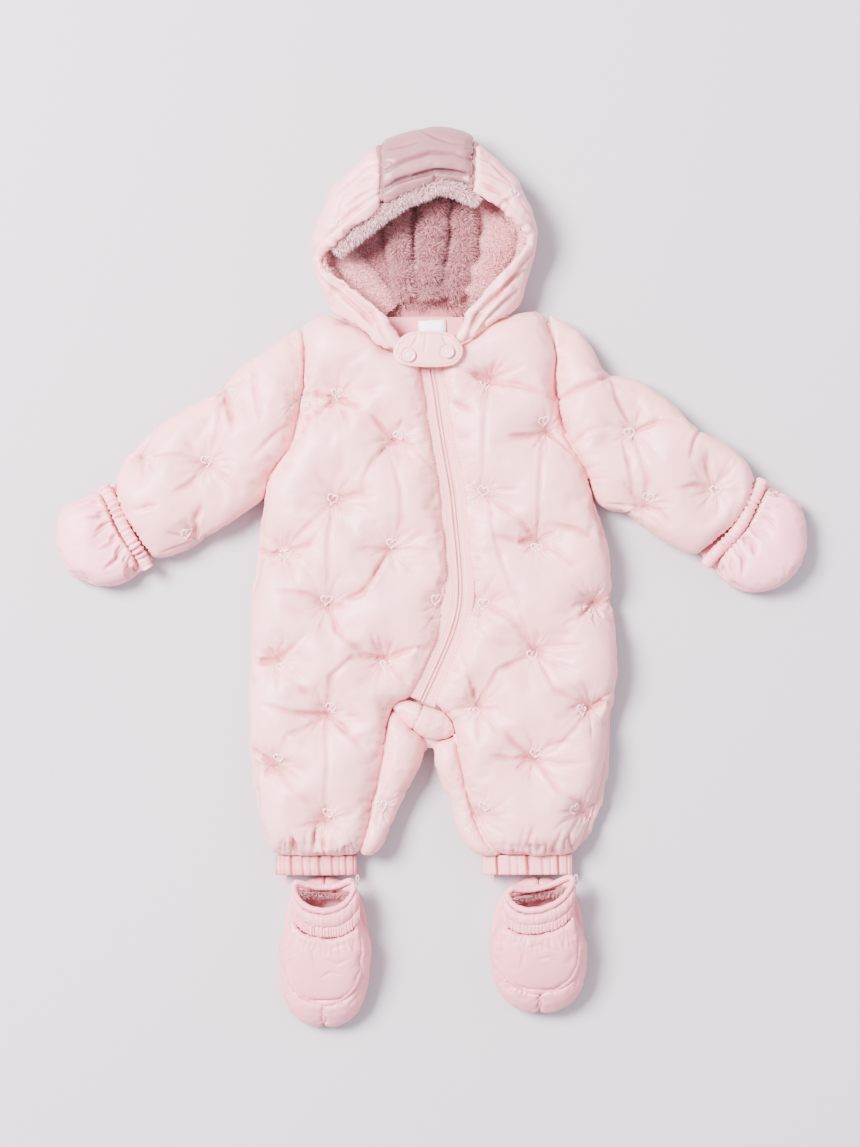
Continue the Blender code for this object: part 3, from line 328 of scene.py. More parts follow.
# quilting tufts: x, y
tufts = (
    (-84, 162), (-34, 124), (-86, 70), (-134, 23), (-37, 26), (-92, -24), (-138, -73), (-42, -72),
    (-94, -122), (-141, -168), (-96, -218), (9, -23), (53, 180), (104, 132), (46, 76), (95, 34),
    (44, -23), (146, -22), (93, -65), (41, -114), (143, -116), (92, -162), (43, -213), (137, -211),
    (-121, 160), (-185, 169), (-202, 102), (-261, 109), (-212, 35), (181, 132), (191, 65), (255, 80),
    (-43, -205),
)
shallowTufts = ((9, -23), (44, -23), (46, 76), (-121, 160))
hoodTufts = ((-82, 315, 60), (76, 341, 58))
# how a tuft holds its panel down, in millimetres; a shallow one pulls less
tuftShape = {"held": 3.4, "dipWidth": 8, "bowlWidth": 24, "shallow": 0.4}
sim = {"frames": 18, "quality": 4, "mass": 0.15, "bendDamping": 0.5}
puffs = []


def startPuff(name, node, look, spec):
    # copies a panel, remeshes it and hangs the Cloth on it; finishPuff takes it off
    bm = cadCopy(node)
    if spec.get("sealed"):
        sealTube(bm)
    obj = addPiece(name, bm, look, [node])
    applied(obj, "REMESH", mode="VOXEL", voxel_size=spec["voxel"] * mm)
    relax(obj, spec.get("relax", 6))
    # remeshing and smoothing round the edges off: grow back over the seams
    points = coordinates(obj.data)
    outward = normals(obj.data)
    points += outward * spec.get("grow", 1.1) * mm
    points[:, 2] = np.maximum(points[:, 2], tableGap)
    up = outward[:, 2]
    tree = neighbours(node)
    gap = np.array([tree.find_nearest(Vector(p))[3] for p in points])
    held = gap < spec.get("seam", 2.6) * mm
    for x, y in tufts:
        spot = at(x, y)
        away = np.hypot(points[:, 0] - spot.x, points[:, 1] - spot.y)
        top = up > (-0.2 if spec.get("sealed") else 0.1)
        shallow = tuftShape["shallow"] if (x, y) in shallowTufts else 1.0
        sunk = shallow * spec.get("dip", 0) * np.exp(-((away / (tuftShape["dipWidth"] * mm)) ** 2))
        sunk += shallow * spec.get("bowl", 0) * np.exp(-((away / (tuftShape["bowlWidth"] * mm)) ** 2))
        points[:, 2] -= np.where(top, sunk * mm, 0)
        held |= (away < tuftShape["held"] * mm) & top
    setCoordinates(obj.data, points)
    group = obj.vertex_groups.new(name="held")
    group.add([int(i) for i in np.nonzero(held)[0]], 1.0, "REPLACE")
    puffs.append((obj, spec, points))
    cloth = obj.modifiers.new("cloth", "CLOTH")
    cloth.collision_settings.use_collision = False
    cloth.point_cache.frame_end = sim["frames"]
    settings = cloth.settings
    settings.vertex_group_mass = "held"
    settings.quality = sim["quality"]
    settings.mass = sim["mass"]
    settings.use_pressure = True
    settings.uniform_pressure_force = spec.get("pressure", 8)
    settings.shrink_min = -spec.get("slack", 0.025)
    settings.bending_stiffness = spec.get("bend", 1.2)
    settings.bending_damping = sim["bendDamping"]
    settings.effector_weights.gravity = 0


def sealTube(bm):
    # takes the flat hollow out of a sleeve: its inner faces look at each other across a slit
    tree = BVHTree.FromBMesh(bm)
    inner = []
    for face in bm.faces:
        start = face.calc_center_median() + face.normal * 0.05 * mm
        hit = tree.ray_cast(start, face.normal, 3.6 * mm)
        if hit[0] is not None:
            inner.append(face)
    bmesh.ops.delete(bm, geom=inner, context="FACES")
    bmesh.ops.holes_fill(bm, edges=[edge for edge in bm.edges if edge.is_boundary], sides=0)


# sizes in millimetres: cap is the furthest a point may swell, seam how near a neighbour a point is held,
# dip and bowl the narrow and the wide hollow at a tuft, grow what smoothing took off
panel = {"voxel": 3.9, "pressure": 9, "slack": 0.03, "cap": 10, "dip": 5.5, "bowl": 4.0, "grow": 1.5}
sleeve = {**panel, "cap": 9, "dip": 4, "bowl": 3, "sealed": True, "grow": 2.0}
small = {"voxel": 2.6, "pressure": 8, "slack": 0.02, "cap": 4, "seam": 1.6, "grow": 1.7}
crotchPanel = {**small, "voxel": 1.8, "cap": 3}
hoodPanel = {"voxel": 3.2, "pressure": 9, "slack": 0.03, "cap": 6, "seam": 1.6, "relax": 4, "grow": 2.2}
mittenPanel = {"voxel": 2.4, "pressure": 8, "slack": 0.03, "cap": 5, "seam": 1.6}
mittenUnder = {**mittenPanel, "voxel": 2.6, "plain": True}
bootPanel = {"voxel": 1.5, "plain": True, "pressure": 8, "slack": 0.015, "cap": 3, "seam": 1.4, "relax": 3,
             "grow": 2.2}
vampPanel = {**bootPanel, "voxel": 2.3, "plain": False}
backPanel = {"voxel": 5.0, "plain": True, "pressure": 0.5, "slack": 0.0, "cap": 0.5, "seam": 3.0, "relax": 3}
sidePanels = (
    # piece, node, look, slot, spec
    ("frontPanel", "front", "shell", "shell", panel),
    ("sleevePanel", "sleeve", "shell", "shell", sleeve),
    ("innerLeg", "inner_leg", "shell", "shell", small),
    ("crotchPanel", "crotch", "shell", "shell", crotchPanel),
    ("mittenFront", "mitten_front", "mitten", "shell", mittenPanel),
    ("mittenBack", "mitten_back", "mitten", "shell_shade", mittenUnder),
    ("hoodSide", "hood_side", "shell", "shell", hoodPanel),
    ("bootOuter", "bootee_side_outer", "bootee", "shell", bootPanel),
    ("bootInner", "bootee_side_inner", "bootee", "shell", bootPanel),
    ("bootVamp", "bootee_vamp", "bootee", "shell", vampPanel),
)
for side in sides:
    for name, node, look, slot, spec in sidePanels:
        startPuff(f"{name}.{side}", f"{node}_{side}", look, spec)
startPuff("hoodCrown", "hood_crown", "crown", hoodPanel)
startPuff("backPanel", "back", "back", backPanel)

for step in range(1, sim["frames"] + 1):
    scene.frame_set(step)
print("cloth: simulated", len(puffs), "panels over", sim["frames"], "frames")


def finishPuff(obj, spec, start):
    # takes the Cloth's result, caps how far a point moved, keeps it off the surface below, and refines it
    mesh = evaluated(obj)
    points = coordinates(mesh)
    bpy.data.meshes.remove(mesh)
    obj.modifiers.clear()
    move = points - start
    length = np.linalg.norm(move, axis=1)
    cap = spec["cap"] * mm
    eased = cap * np.tanh(length / cap)
    points = start + move * (eased / np.maximum(length, tiny))[:, None]
    points[:, 2] = np.maximum(points[:, 2], tableGap)
    setCoordinates(obj.data, points)
    obj.vertex_groups.clear()
    if not spec.get("plain"):
        applied(obj, "SUBSURF", levels=1, render_levels=1)
    obj.data.shade_smooth()


for obj, spec, start in puffs:
    finishPuff(obj, spec, start)
pieces = {obj.name: obj for obj, _, _ in puffs}
print("cloth: finished, points", sum(len(obj.data.vertices) for obj in pieces.values()))


# the section of a crease, as shares of its width
creaseShape = {"ends": 0.42, "middle": 0.32, "ridge": 0.4, "ridgeAway": 1.7, "broadWidth": 3.4}


def creased(obj, creases, facing=0.0, broad=0.45):
    # a crease is depth, width and points: a soft trough with a low ridge on its right, fading at its ends
    mesh = obj.data
    points = coordinates(mesh)
    outward = normals(mesh)
    shift = np.zeros(len(points))
    flat = points[:, :2]
    shown = outward[:, 2] > facing
    for depth, width, line in creases:
        line = [at(*p[:2]) for p in line]
        line = np.array([[p.x, p.y] for p in line])
        reach = 4 * width * mm
        low = line.min(0) - reach
        high = line.max(0) + reach
        near = np.nonzero(shown & (flat > low).all(1) & (flat < high).all(1))[0]
        if not len(near):
            continue
        here = flat[near]
        lengths = np.linalg.norm(np.diff(line, axis=0), axis=1)
        total = lengths.sum()
        best = np.full(len(near), 1e9)
        offset = np.zeros(len(near))
        along = np.zeros(len(near))
        done = 0.0
        for a, b, length in zip(line[:-1], line[1:], lengths):
            way = (b - a) / length
            s = np.clip((here - a) @ way, 0, length)
            gap = here - a - s[:, None] * way
            away = np.linalg.norm(gap, axis=1)
            closer = away < best
            best = np.where(closer, away, best)
            side = way[0] * gap[:, 1] - way[1] * gap[:, 0]
            offset = np.where(closer, np.sign(side) * away, offset)
            along = np.where(closer, (done + s) / total, along)
            done += length
        w = width * mm * (creaseShape["ends"] + creaseShape["middle"] * np.sin(np.pi * along))
        fade = np.sin(np.pi * np.clip(along * 0.92 + 0.05, 0, 1)) ** 0.6
        ridge = np.exp(-(((offset + creaseShape["ridgeAway"] * w) / w) ** 2))
        profile = np.exp(-((best / w) ** 2)) - creaseShape["ridge"] * ridge
        profile += broad * np.exp(-((best / (creaseShape["broadWidth"] * w)) ** 2))
        shift[near] -= depth * mm * fade * profile
    setCoordinates(mesh, points + outward * shift[:, None])


def radiating(centres, seed, count=9, reach=(10, 30), depth=(0.6, 1.5)):
    # fine creases that run out from each tuft
    rng = random.Random(seed)
    found = []
    for x, y in centres:
        turn = rng.uniform(0, math.tau)
        for k in range(count):
            angle = turn + (k + rng.uniform(-0.3, 0.3)) * math.tau / count
            bend = rng.uniform(-0.35, 0.35)
            long = rng.uniform(*reach)
            line = []
            for share in (0.0, 0.5, 1.0):
                r = 4 + share * long
                a = angle + bend * share
                line.append((x + r * math.cos(a), y + r * math.sin(a)))
            found.append((rng.uniform(*depth), rng.uniform(1.5, 2.2), line))
    return found


def puckers(line, seed, spacing=8.0, reach=(6, 16), depth=(0.5, 1.1), side=0, lean=0.3):
    # short creases that run off a seam; side -1 is to the left of the line, 1 to its right, 0 both
    rng = random.Random(seed)
    found = []
    for (ax, ay), (bx, by) in zip(line, line[1:]):
        length = math.hypot(bx - ax, by - ay)
        way = ((bx - ax) / length, (by - ay) / length)
        place = rng.uniform(0, spacing)
        while place < length:
            turned = side or rng.choice((-1, 1))
            slope = rng.uniform(-lean, lean)
            out = (way[1] * turned + way[0] * slope, -way[0] * turned + way[1] * slope)
            long = rng.uniform(*reach)
            x = ax + way[0] * place
            y = ay + way[1] * place
            found.append((
                rng.uniform(*depth), rng.uniform(1.3, 2.0),
                [(x + out[0] * long * share, y + out[1] * long * share) for share in (0, 0.5, 1)],
            ))
            place += spacing * rng.uniform(0.6, 1.5)
    return found


def crumpled(obj, size, depth, seed):
    # slack in the cloth between its tufts: a long soft unevenness
    mesh = obj.data
    points = coordinates(mesh)
    outward = normals(mesh)
    drift = Vector((seed * 3.1, seed * 1.7, seed * 0.9))
    amount = np.array([noise.noise(Vector(p) / (size * mm) + drift) for p in points])
    fine = np.array([noise.noise(Vector(p) / (size * 0.35 * mm) + drift) for p in points])
    setCoordinates(mesh, points + outward * ((amount + fine * 0.3) * depth * mm)[:, None])


def markTufts(obj, spots):
    # keeps each point's way from its nearest tuft, for the streaks in the cloth
    points = coordinates(obj.data)
    best = np.full(len(points), 1e9)
    away = np.tile(np.array([1.0, 0.0, 0.0]), (len(points), 1))
    for x, y in spots:
        spot = at(x, y)
        gap = points[:, :2] - np.array([spot.x, spot.y])
        far = np.hypot(gap[:, 0], gap[:, 1])
        closer = far < best
        best = np.where(closer, far, best)
        away[closer, :2] = gap[closer]
    keepValues(obj.data, "fromTuft", "FLOAT_VECTOR", "vector", away)
    keepValues(obj.data, "tuftGap", "FLOAT", "value", best)


def markPaintedShade(obj, strength=1.0, rounds=4):
    # keeps how deep each point lies below its surroundings, as the share of painted shade the cloth takes in
    # its folds and hollows
    mesh = obj.data
    points = coordinates(mesh)
    outward = normals(mesh)
    ends = np.empty(len(mesh.edges) * 2, np.int32)
    mesh.edges.foreach_get("vertices", ends)
    ends = ends.reshape(-1, 2)
    count = np.bincount(ends.ravel(), minlength=len(points)).astype(float)
    count = np.maximum(count, 1)

    def around(values):
        total = np.zeros_like(values)
        np.add.at(total, ends[:, 0], values[ends[:, 1]])
        np.add.at(total, ends[:, 1], values[ends[:, 0]])
        return total / (count[:, None] if values.ndim == 2 else count)

    soft = points
    for _ in range(rounds):
        soft = around(soft)
    hollow = ((soft - points) * outward).sum(1)
    hollow = around(around(hollow)) / (0.45 * mm) * strength
    keepValues(mesh, "hollow", "FLOAT", "value", np.clip(hollow, 0, 1))


# front creases: depth, width, points
leftCreases = [
    (3.4, 3.4, ((-83, -22), (-62, -14), (-50, 3), (-37, 26))),
    (2.6, 3.0, ((-92, -24), (-110, -14), (-140, -10))),
    (1.8, 3.0, ((-37, 26), (-14, 26), (8, 22))),
    (2.4, 2.6, ((-155, 26), (-145, 22), (-134, 23))),
    (2.0, 2.6, ((-134, 23), (-110, 30), (-100, 42))),
    (2.2, 3.2, ((-86, 70), (-68, 74), (-50, 72))),
    (1.8, 3.0, ((-86, 70), (-115, 42), (-130, 28))),
    (1.8, 3.4, ((-35, 108), (-27, 80), (-26, 55), (-33, 28))),
    (2.0, 3.2, ((-34, 124), (-50, 108), (-60, 90), (-63, 75))),
    (2.2, 3.0, ((-34, 124), (-16, 118), (2, 100))),
    (2.4, 3.0, ((-84, 162), (-100, 166), (-118, 165))),
    (1.6, 2.6, ((-88, 156), (-102, 158), (-116, 154))),
    (2.2, 3.0, ((-84, 162), (-72, 156), (-62, 153))),
    (1.6, 2.8, ((-84, 162), (-98, 152), (-110, 145), (-118, 130))),
    (1.8, 3.2, ((-70, 150), (-50, 143), (-34, 124))),
    (2.4, 3.0, ((-92, -24), (-85, -45), (-60, -68), (-42, -72))),
    (2.0, 2.8, ((-42, -72), (-26, -66), (-10, -62))),
    (1.8, 2.6, ((-42, -72), (-30, -84), (-20, -95))),
    (2.2, 3.0, ((-42, -72), (-70, -70), (-90, -88), (-94, -122))),
    (2.4, 3.0, ((-160, -74), (-150, -76), (-138, -73))),
    (1.8, 3.0, ((-138, -73), (-125, -62), (-112, -50))),
    (1.8, 3.2, ((-125, -88), (-115, -100), (-105, -108))),
    (2.8, 3.4, ((-94, -122), (-122, -120), (-150, -113))),
    (2.6, 3.0, ((-94, -122), (-70, -142), (-57, -155))),
    (2.0, 3.0, ((-94, -122), (-112, -134), (-128, -140), (-135, -155))),
    (2.0, 2.6, ((-163, -155), (-152, -160), (-141, -168))),
    (1.8, 3.0, ((-88, 62), (-92, 30), (-92, -10))),
    (1.4, 3.0, ((-141, -168), (-120, -190), (-98, -214))),
    (1.6, 3.0, ((-94, -126), (-92, -165), (-96, -212))),
    (2.2, 2.4, ((-102, -220), (-104, -232), (-105, -245))),
    (2.0, 2.4, ((-98, -232), (-96, -240), (-95, -248))),
    (1.6, 3.0, ((-128, -222), (-124, -235), (-121, -247))),
]
rightCreases = [
    (2.8, 3.2, ((47, -21), (56, -27), (69, -34), (93, -65))),
    (2.2, 3.0, ((93, -65), (60, -82), (41, -114))),
    (1.8, 2.8, ((25, -70), (35, -90), (41, -110))),
    (2.2, 3.0, ((93, -65), (116, -60), (138, -60))),
    (2.0, 2.8, ((93, -65), (112, -76), (130, -82))),
    (2.2, 3.0, ((93, -65), (112, -100), (143, -116))),
    (2.4, 2.6, ((143, -116), (154, -112), (163, -113))),
    (2.2, 3.2, ((46, 76), (70, 60), (95, 34))),
    (2.4, 3.0, ((104, 132), (88, 128), (70, 128))),
    (2.0, 2.8, ((104, 132), (116, 124), (128, 112))),
    (2.0, 3.0, ((95, 34), (78, 34), (60, 38))),
    (2.0, 3.0, ((95, 34), (114, 24), (130, 10))),
    (1.8, 3.0, ((110, 48), (130, 44), (150, 35))),
    (2.2, 2.8, ((146, -22), (132, -34), (118, -42))),
    (2.4, 2.6, ((146, -22), (156, -22), (164, -20))),
    (2.4, 3.0, ((92, -162), (74, -162), (55, -158))),
    (2.2, 3.0, ((92, -162), (116, -166), (140, -165))),
    (2.0, 3.0, ((92, -162), (76, -148), (65, -132))),
    (2.2, 3.2, ((92, -162), (115, -190), (137, -205))),
    (1.8, 3.0, ((143, -116), (128, -136), (112, -152))),
    (1.8, 3.0, ((41, -114), (60, -136), (88, -158))),
    (2.2, 2.4, ((92, -220), (88, -232), (85, -246))),
    (2.0, 2.4, ((95, -232), (97, -246))),
    (1.6, 2.8, ((118, -224), (114, -236), (112, -247))),
    (2.6, 3.6, ((20, 190), (36, 184), (50, 178), (82, 172), (113, 160))),
    (2.0, 3.0, ((15, 158), (26, 154), (40, 148))),
    (1.6, 3.0, ((53, 176), (48, 140), (46, 84))),
    (1.6, 3.2, ((50, 70), (62, 20), (90, -58))),
    (1.6, 3.0, ((44, -23), (36, -2), (34, 18))),
    (1.8, 3.0, ((100, 128), (98, 90), (95, 42))),
]
zipPoints = (
    (-1, 190), (3, 168), (8, 134), (13, 105), (17.5, 80), (20.5, 52), (23.5, 22), (25.2, -8),
    (23.5, -28), (17.5, -50), (7, -75), (-3.5, -98), (-9.5, -111),
)


def beside(line, away):
    # the line of points, moved to its left by a distance
    found = []
    for i, (x, y) in enumerate(line):
        ax, ay = line[max(i - 1, 0)]
        bx, by = line[min(i + 1, len(line) - 1)]
        length = math.hypot(bx - ax, by - ay)
        found.append((x - (by - ay) / length * away, y + (bx - ax) / length * away))
    return found


leftZip = beside(zipPoints, -12)
rightZip = beside(zipPoints, 12)
hemLeft = ((-140, -249), (-66, -249))
hemRight = ((64, -248), (130, -248))
armholeLeft = ((-114, 205), (-113, 180), (-120, 142), (-132, 108), (-146, 88))
armholeRight = ((104, 225), (112, 202), (110, 172), (117, 134), (132, 110), (141, 86))
seamInLeft = ((-37, -115), (-43, -155), (-52, -202), (-64, -248))
seamInRight = ((23, -140), (29, -178), (38, -217), (61, -248))

leftTufts = [t for t in tufts if t[0] < 10 and t[0] > -160]
rightTufts = [t for t in tufts if 10 < t[0] < 160 and t[1] != 132 or t == (104, 132)]
creased(pieces["frontPanel.left"], leftCreases + radiating(leftTufts, 3)
        + puckers(leftZip, 5, 9, (7, 20), side=1) + puckers(hemLeft, 6, 5, (8, 26), (1.4, 3.0), side=-1)
        + puckers(armholeLeft, 7, 9, (6, 14), side=-1) + puckers(seamInLeft, 8, 9, (5, 12), side=1))
creased(pieces["frontPanel.right"], rightCreases + radiating(rightTufts, 4)
        + puckers(rightZip, 9, 9, (7, 20), side=-1) + puckers(hemRight, 10, 5, (8, 26), (1.4, 3.0), side=-1)
        + puckers(armholeRight, 11, 9, (6, 14), side=-1) + puckers(seamInRight, 12, 9, (5, 12), side=-1))

sleeveCreases = {
    "left": [
        (3.0, 3.6, ((-184, 180), (-196, 172), (-215, 160))),
        (2.4, 3.2, ((-186, 168), (-180, 150), (-176, 130))),
        (2.6, 3.2, ((-265, 60), (-254, 64), (-245, 65))),
        (2.4, 3.2, ((-212, 35), (-210, 52), (-204, 68))),
        (2.2, 3.4, ((-202, 102), (-214, 86), (-232, 76))),
        (2.0, 3.2, ((-202, 102), (-222, 110), (-246, 110))),
        (2.2, 3.4, ((-202, 102), (-186, 92), (-170, 76))),
        (1.8, 3.4, ((-198, 110), (-190, 132), (-188, 160))),
        (1.8, 3.2, ((-160, 196), (-158, 170), (-152, 140))),
        (1.8, 3.2, ((-125, 140), (-140, 128), (-160, 108))),
    ],
    "right": [
        (3.2, 3.6, ((162, 184), (146, 176), (130, 170), (113, 160))),
        (2.6, 3.4, ((181, 132), (202, 140), (225, 142))),
        (2.2, 3.4, ((181, 132), (188, 110), (194, 86), (192, 66))),
        (2.0, 3.2, ((172, 124), (178, 100), (182, 76))),
        (2.4, 3.2, ((243, 136), (236, 122), (232, 106))),
        (2.4, 3.2, ((255, 80), (238, 84), (220, 80))),
        (2.2, 3.0, ((255, 80), (250, 98), (248, 116))),
        (2.0, 3.0, ((255, 80), (264, 92), (276, 104))),
        (2.2, 3.2, ((191, 65), (204, 60), (216, 46))),
        (1.8, 3.2, ((162, 182), (168, 160), (180, 136))),
        (1.8, 3.2, ((125, 120), (140, 132), (160, 136))),
    ],
}
cuffLines = {
    "left": ((-284, 90), (-280, 66), (-269, 47), (-250, 19)),
    "right": ((291, 90), (285, 68), (271, 49), (241, 23)),
}
for side in sides:
    own = [t for t in tufts if (t[0] < -160 if side == "left" else t[0] > 160)]
    turned = -1 if side == "left" else 1
    arm = armholeLeft if side == "left" else armholeRight
    creased(pieces[f"sleevePanel.{side}"], sleeveCreases[side] + radiating(own, 21)
            + puckers(cuffLines[side], 22, 5, (9, 26), (1.4, 2.8), side=-turned)
            + puckers(arm, 23, 9, (8, 18), side=-turned), -0.2)

pleatRows = {
    "left": (((-302, 78), (-1.0, 0.1)), ((-296, 66), (-0.95, 0.0)), ((-291, 57), (-0.9, -0.25)),
             ((-286, 48), (-0.8, -0.45)), ((-281, 38), (-0.65, -0.65)), ((-276, 29), (-0.45, -0.8)),
             ((-270, 20), (-0.25, -0.95)), ((-266, 12), (-0.1, -1.0))),
    "right": (((305, 80), (1.0, 0.0)), ((300, 68), (0.95, -0.2)), ((295, 58), (0.85, -0.45)),
              ((289, 49), (0.7, -0.65)), ((283, 40), (0.5, -0.85)), ((276, 31), (0.3, -0.95)),
              ((268, 22), (0.15, -1.0)), ((261, 14), (0.0, -1.0))),
}
for side in sides:
    rng = random.Random(77)
    pleats = []
    for (x, y), (dx, dy) in pleatRows[side]:
        for shift in (0, rng.uniform(3, 5)):
            long = rng.uniform(14, 30) if shift == 0 else rng.uniform(8, 18)
            bend = rng.uniform(-0.2, 0.2)
            ax = x + shift * dy
            ay = y - shift * dx
            pleats.append((rng.uniform(1.8, 3.2), rng.uniform(1.8, 2.5), [
                (ax, ay), (ax + dx * long * 0.5, ay + dy * long * 0.5),
                (ax + (dx - dy * bend) * long, ay + (dy + dx * bend) * long)]))
    creased(pieces[f"mittenFront.{side}"], pleats, -0.1)

bootCreases = {
    "left": [
        (1.1, 2.0, ((-98, -321), (-87, -330), (-74, -326))),
        (0.9, 2.0, ((-94, -340), (-84, -345), (-73, -340))),
        (0.8, 1.8, ((-112, -324), (-106, -336), (-104, -350))),
        (0.9, 1.8, ((-80, -354), (-90, -352), (-100, -358))),
    ],
    "right": [
        (1.1, 2.0, ((86, -330), (98, -327), (116, -334))),
        (0.9, 2.0, ((94, -341), (106, -338), (118, -346))),
        (0.8, 1.8, ((76, -322), (82, -336), (80, -350))),
    ],
}
throats = {"left": ((-122, -322), (-96, -326), (-66, -322)), "right": ((66, -318), (96, -322), (126, -318))}
for side in sides:
    near = puckers(throats[side], 91, 4, (5, 14), (0.5, 1.0), side=1)
    creased(pieces[f"bootVamp.{side}"], bootCreases[side] + near, 0.0, 0.2)
    for part in ("bootOuter", "bootInner"):
        crumpled(pieces[f"{part}.{side}"], 11, 0.7, 6)

throat = {"start": -332, "run": 26}


def taper(obj, side, slim):
    # draws a bootee in above its gathered throat; slim is the share of its width left at the mouth
    low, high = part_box(f"bootee_sole_{side}")
    middle = (low.x + high.x) / 2
    points = coordinates(obj.data)
    share = np.clip((points[:, 1] - at(0, throat["start"]).y) / (throat["run"] * mm), 0, 1)
    share = share * share * (3 - 2 * share)
    points[:, 0] = middle + (points[:, 0] - middle) * (1 - (1 - slim) * share)
    setCoordinates(obj.data, points)


for side in sides:
    for part in ("bootOuter", "bootInner"):
        taper(pieces[f"{part}.{side}"], side, 0.8)
print("creases: placed on the fronts, sleeves, mittens and bootees")


# the hood: seams, brim casing and folds
brim = {
    "left": ((-43, 331, 58), (-67, 312, 57), (-88, 294, 51), (-102, 282, 45), (-82, 267, 48), (-60, 251, 49),
             (-37, 231, 48), (-21, 204, 46)),
    "right": ((36, 345, 58), (60, 328, 57), (78, 312, 51), (90, 302, 45), (71, 282, 48), (47, 255, 49),
              (29, 233, 48), (17, 206, 46)),
}
hoodCreases = {
    "left": [
        (3.6, 3.0, ((-98, 276), (-84, 264), (-68, 250), (-52, 236), (-43, 222))),
        (3.0, 3.0, ((-92, 262), (-78, 250), (-60, 236), (-50, 224))),
        (2.6, 2.6, ((-48, 372), (-60, 366), (-72, 356), (-84, 344))),
        (2.0, 2.4, ((-46, 360), (-58, 356), (-66, 350))),
        (2.4, 2.4, ((-46, 346), (-60, 341), (-76, 330))),
        (2.0, 2.6, ((-82, 315), (-84, 330), (-78, 344))),
        (2.0, 2.6, ((-82, 315), (-70, 326), (-56, 336))),
    ],
    "right": [
        (3.6, 3.0, ((84, 276), (70, 264), (54, 250), (40, 234), (34, 220))),
        (3.0, 3.0, ((78, 258), (64, 244), (50, 230), (42, 218))),
        (2.6, 2.6, ((40, 376), (54, 372), (64, 362), (76, 352))),
        (2.2, 2.4, ((40, 362), (54, 360), (70, 352))),
        (2.4, 2.4, ((38, 350), (56, 346), (72, 338))),
        (2.0, 2.4, ((76, 341), (66, 334), (58, 328))),
    ],
}
crownCreases = [
    (3.6, 3.0, ((-44, 360), (-22, 372), (0, 379), (22, 378), (36, 372))),
    (3.4, 2.6, ((-42, 346), (-22, 355), (2, 361), (20, 359), (35, 353))),
    (3.0, 3.0, ((-10, 402), (4, 394), (22, 388), (38, 386))),
    (2.0, 2.6, ((-40, 382), (-24, 386), (-8, 390))),
    (1.8, 2.2, ((2, 361), (4, 356), (5, 350))),
]


def casing(obj, lines, away, depth, width):
    # the stitched line that runs round the brim at a set distance from its edge
    mesh = obj.data
    points = coordinates(mesh)
    outward = normals(mesh)
    edge = []
    for line in lines:
        path = [at(*p) for p in line]
        for a, b in zip(path, path[1:]):
            steps = max(int((b - a).length / (1.5 * mm)), 1)
            edge += [list(a.lerp(b, k / steps)) for k in range(steps)]
    edge = np.array(edge)
    gap = np.full(len(points), 1e9)
    for p in edge:
        gap = np.minimum(gap, ((points - p) ** 2).sum(1))
    gap = np.sqrt(gap)
    shift = -depth * mm * np.exp(-(((gap - away * mm) / (width * mm)) ** 2))
    shift = np.where(outward[:, 2] > -0.1, shift, 0)
    setCoordinates(mesh, points + outward * shift[:, None])


crownBrim = [((-43, 331, 58), (-26, 342, 60), (7, 351, 59), (24, 349, 59), (36, 345, 58))]
for side in sides:
    obj = pieces[f"hoodSide.{side}"]
    own = [t[:2] for t in hoodTufts if (t[0] < 0) == (side == "left")]
    creased(obj, hoodCreases[side] + radiating(own, 31, 6, (8, 20), (0.5, 1.0)))
    casing(obj, [brim[side]], 11.5, 1.9, 1.8)
crown = pieces["hoodCrown"]
creased(crown, crownCreases
        + puckers(((-44, 335), (-45, 376), (-46, 391)), 33, 5, (6, 14), side=1)
        + puckers(((35, 347), (37, 380), (39, 394)), 34, 5, (6, 14), side=-1))
casing(crown, crownBrim, 12, 2.4, 1.8)

for name, obj in pieces.items():
    if not name.startswith(("backPanel", "boot")):
        crumpled(obj, 16, 1.2 if name.startswith(("innerLeg", "crotch")) else 0.5, len(name))
quilted = ("frontPanel", "sleevePanel", "innerLeg")
for name, obj in pieces.items():
    markPaintedShade(obj, 0.62)
    if name.startswith(quilted):
        markTufts(obj, tufts)
print("hood: creased; padded pieces marked:", len(pieces))


# trees of the finished surfaces, for what is sewn on them
def surfaceOf(*names):
    bm = bmesh.new()
    for name in names:
        bm.from_mesh(bpy.data.objects[name].data)
    tree = BVHTree.FromBMesh(bm)
    bm.free()
    return tree


def surfaceBelow(tree, x, y):
    return tree.ray_cast(Vector((x, y, 0.2)), Vector((0, 0, -1)))[0]


def axes(along, up):
    # a turn whose X runs along and whose Z points up
    along = along.normalized()
    out = (up - along * up.dot(along)).normalized()
    return Matrix((along, out.cross(along), out)).transposed().to_4x4()


def bead(bm, place, along, up, size, detail=1):
    # one stitch or tooth: a rounded bar, size along, across and up, in metres
    turn = Matrix.Translation(place) @ axes(along, up) @ Matrix.Diagonal((*size, 1.0))
    bmesh.ops.create_icosphere(bm, subdivisions=detail, radius=0.5, matrix=turn)


def resampled(points, step):
    # evenly spaced points on the line
    found = [points[0].copy()]
    left = step
    for a, b in zip(points, points[1:]):
        length = (b - a).length
        done = 0.0
        while length - done > left:
            done += left
            found.append(a.lerp(b, done / length))
            left = step
        left -= length - done
    return found


def smoothLine(points, parts=6):
    # a smooth curve through the points
    found = []
    count = len(points)
    for i in range(count - 1):
        before = points[max(i - 1, 0)]
        a = points[i]
        b = points[i + 1]
        after = points[min(i + 2, count - 1)]
        for k in range(parts):
            f = k / parts
            found.append(0.5 * (2 * a + (b - before) * f + (2 * before - 5 * a + 4 * b - after) * f * f
                                + (3 * a - before - 3 * b + after) * f ** 3))
    found.append(points[-1].copy())
    return found


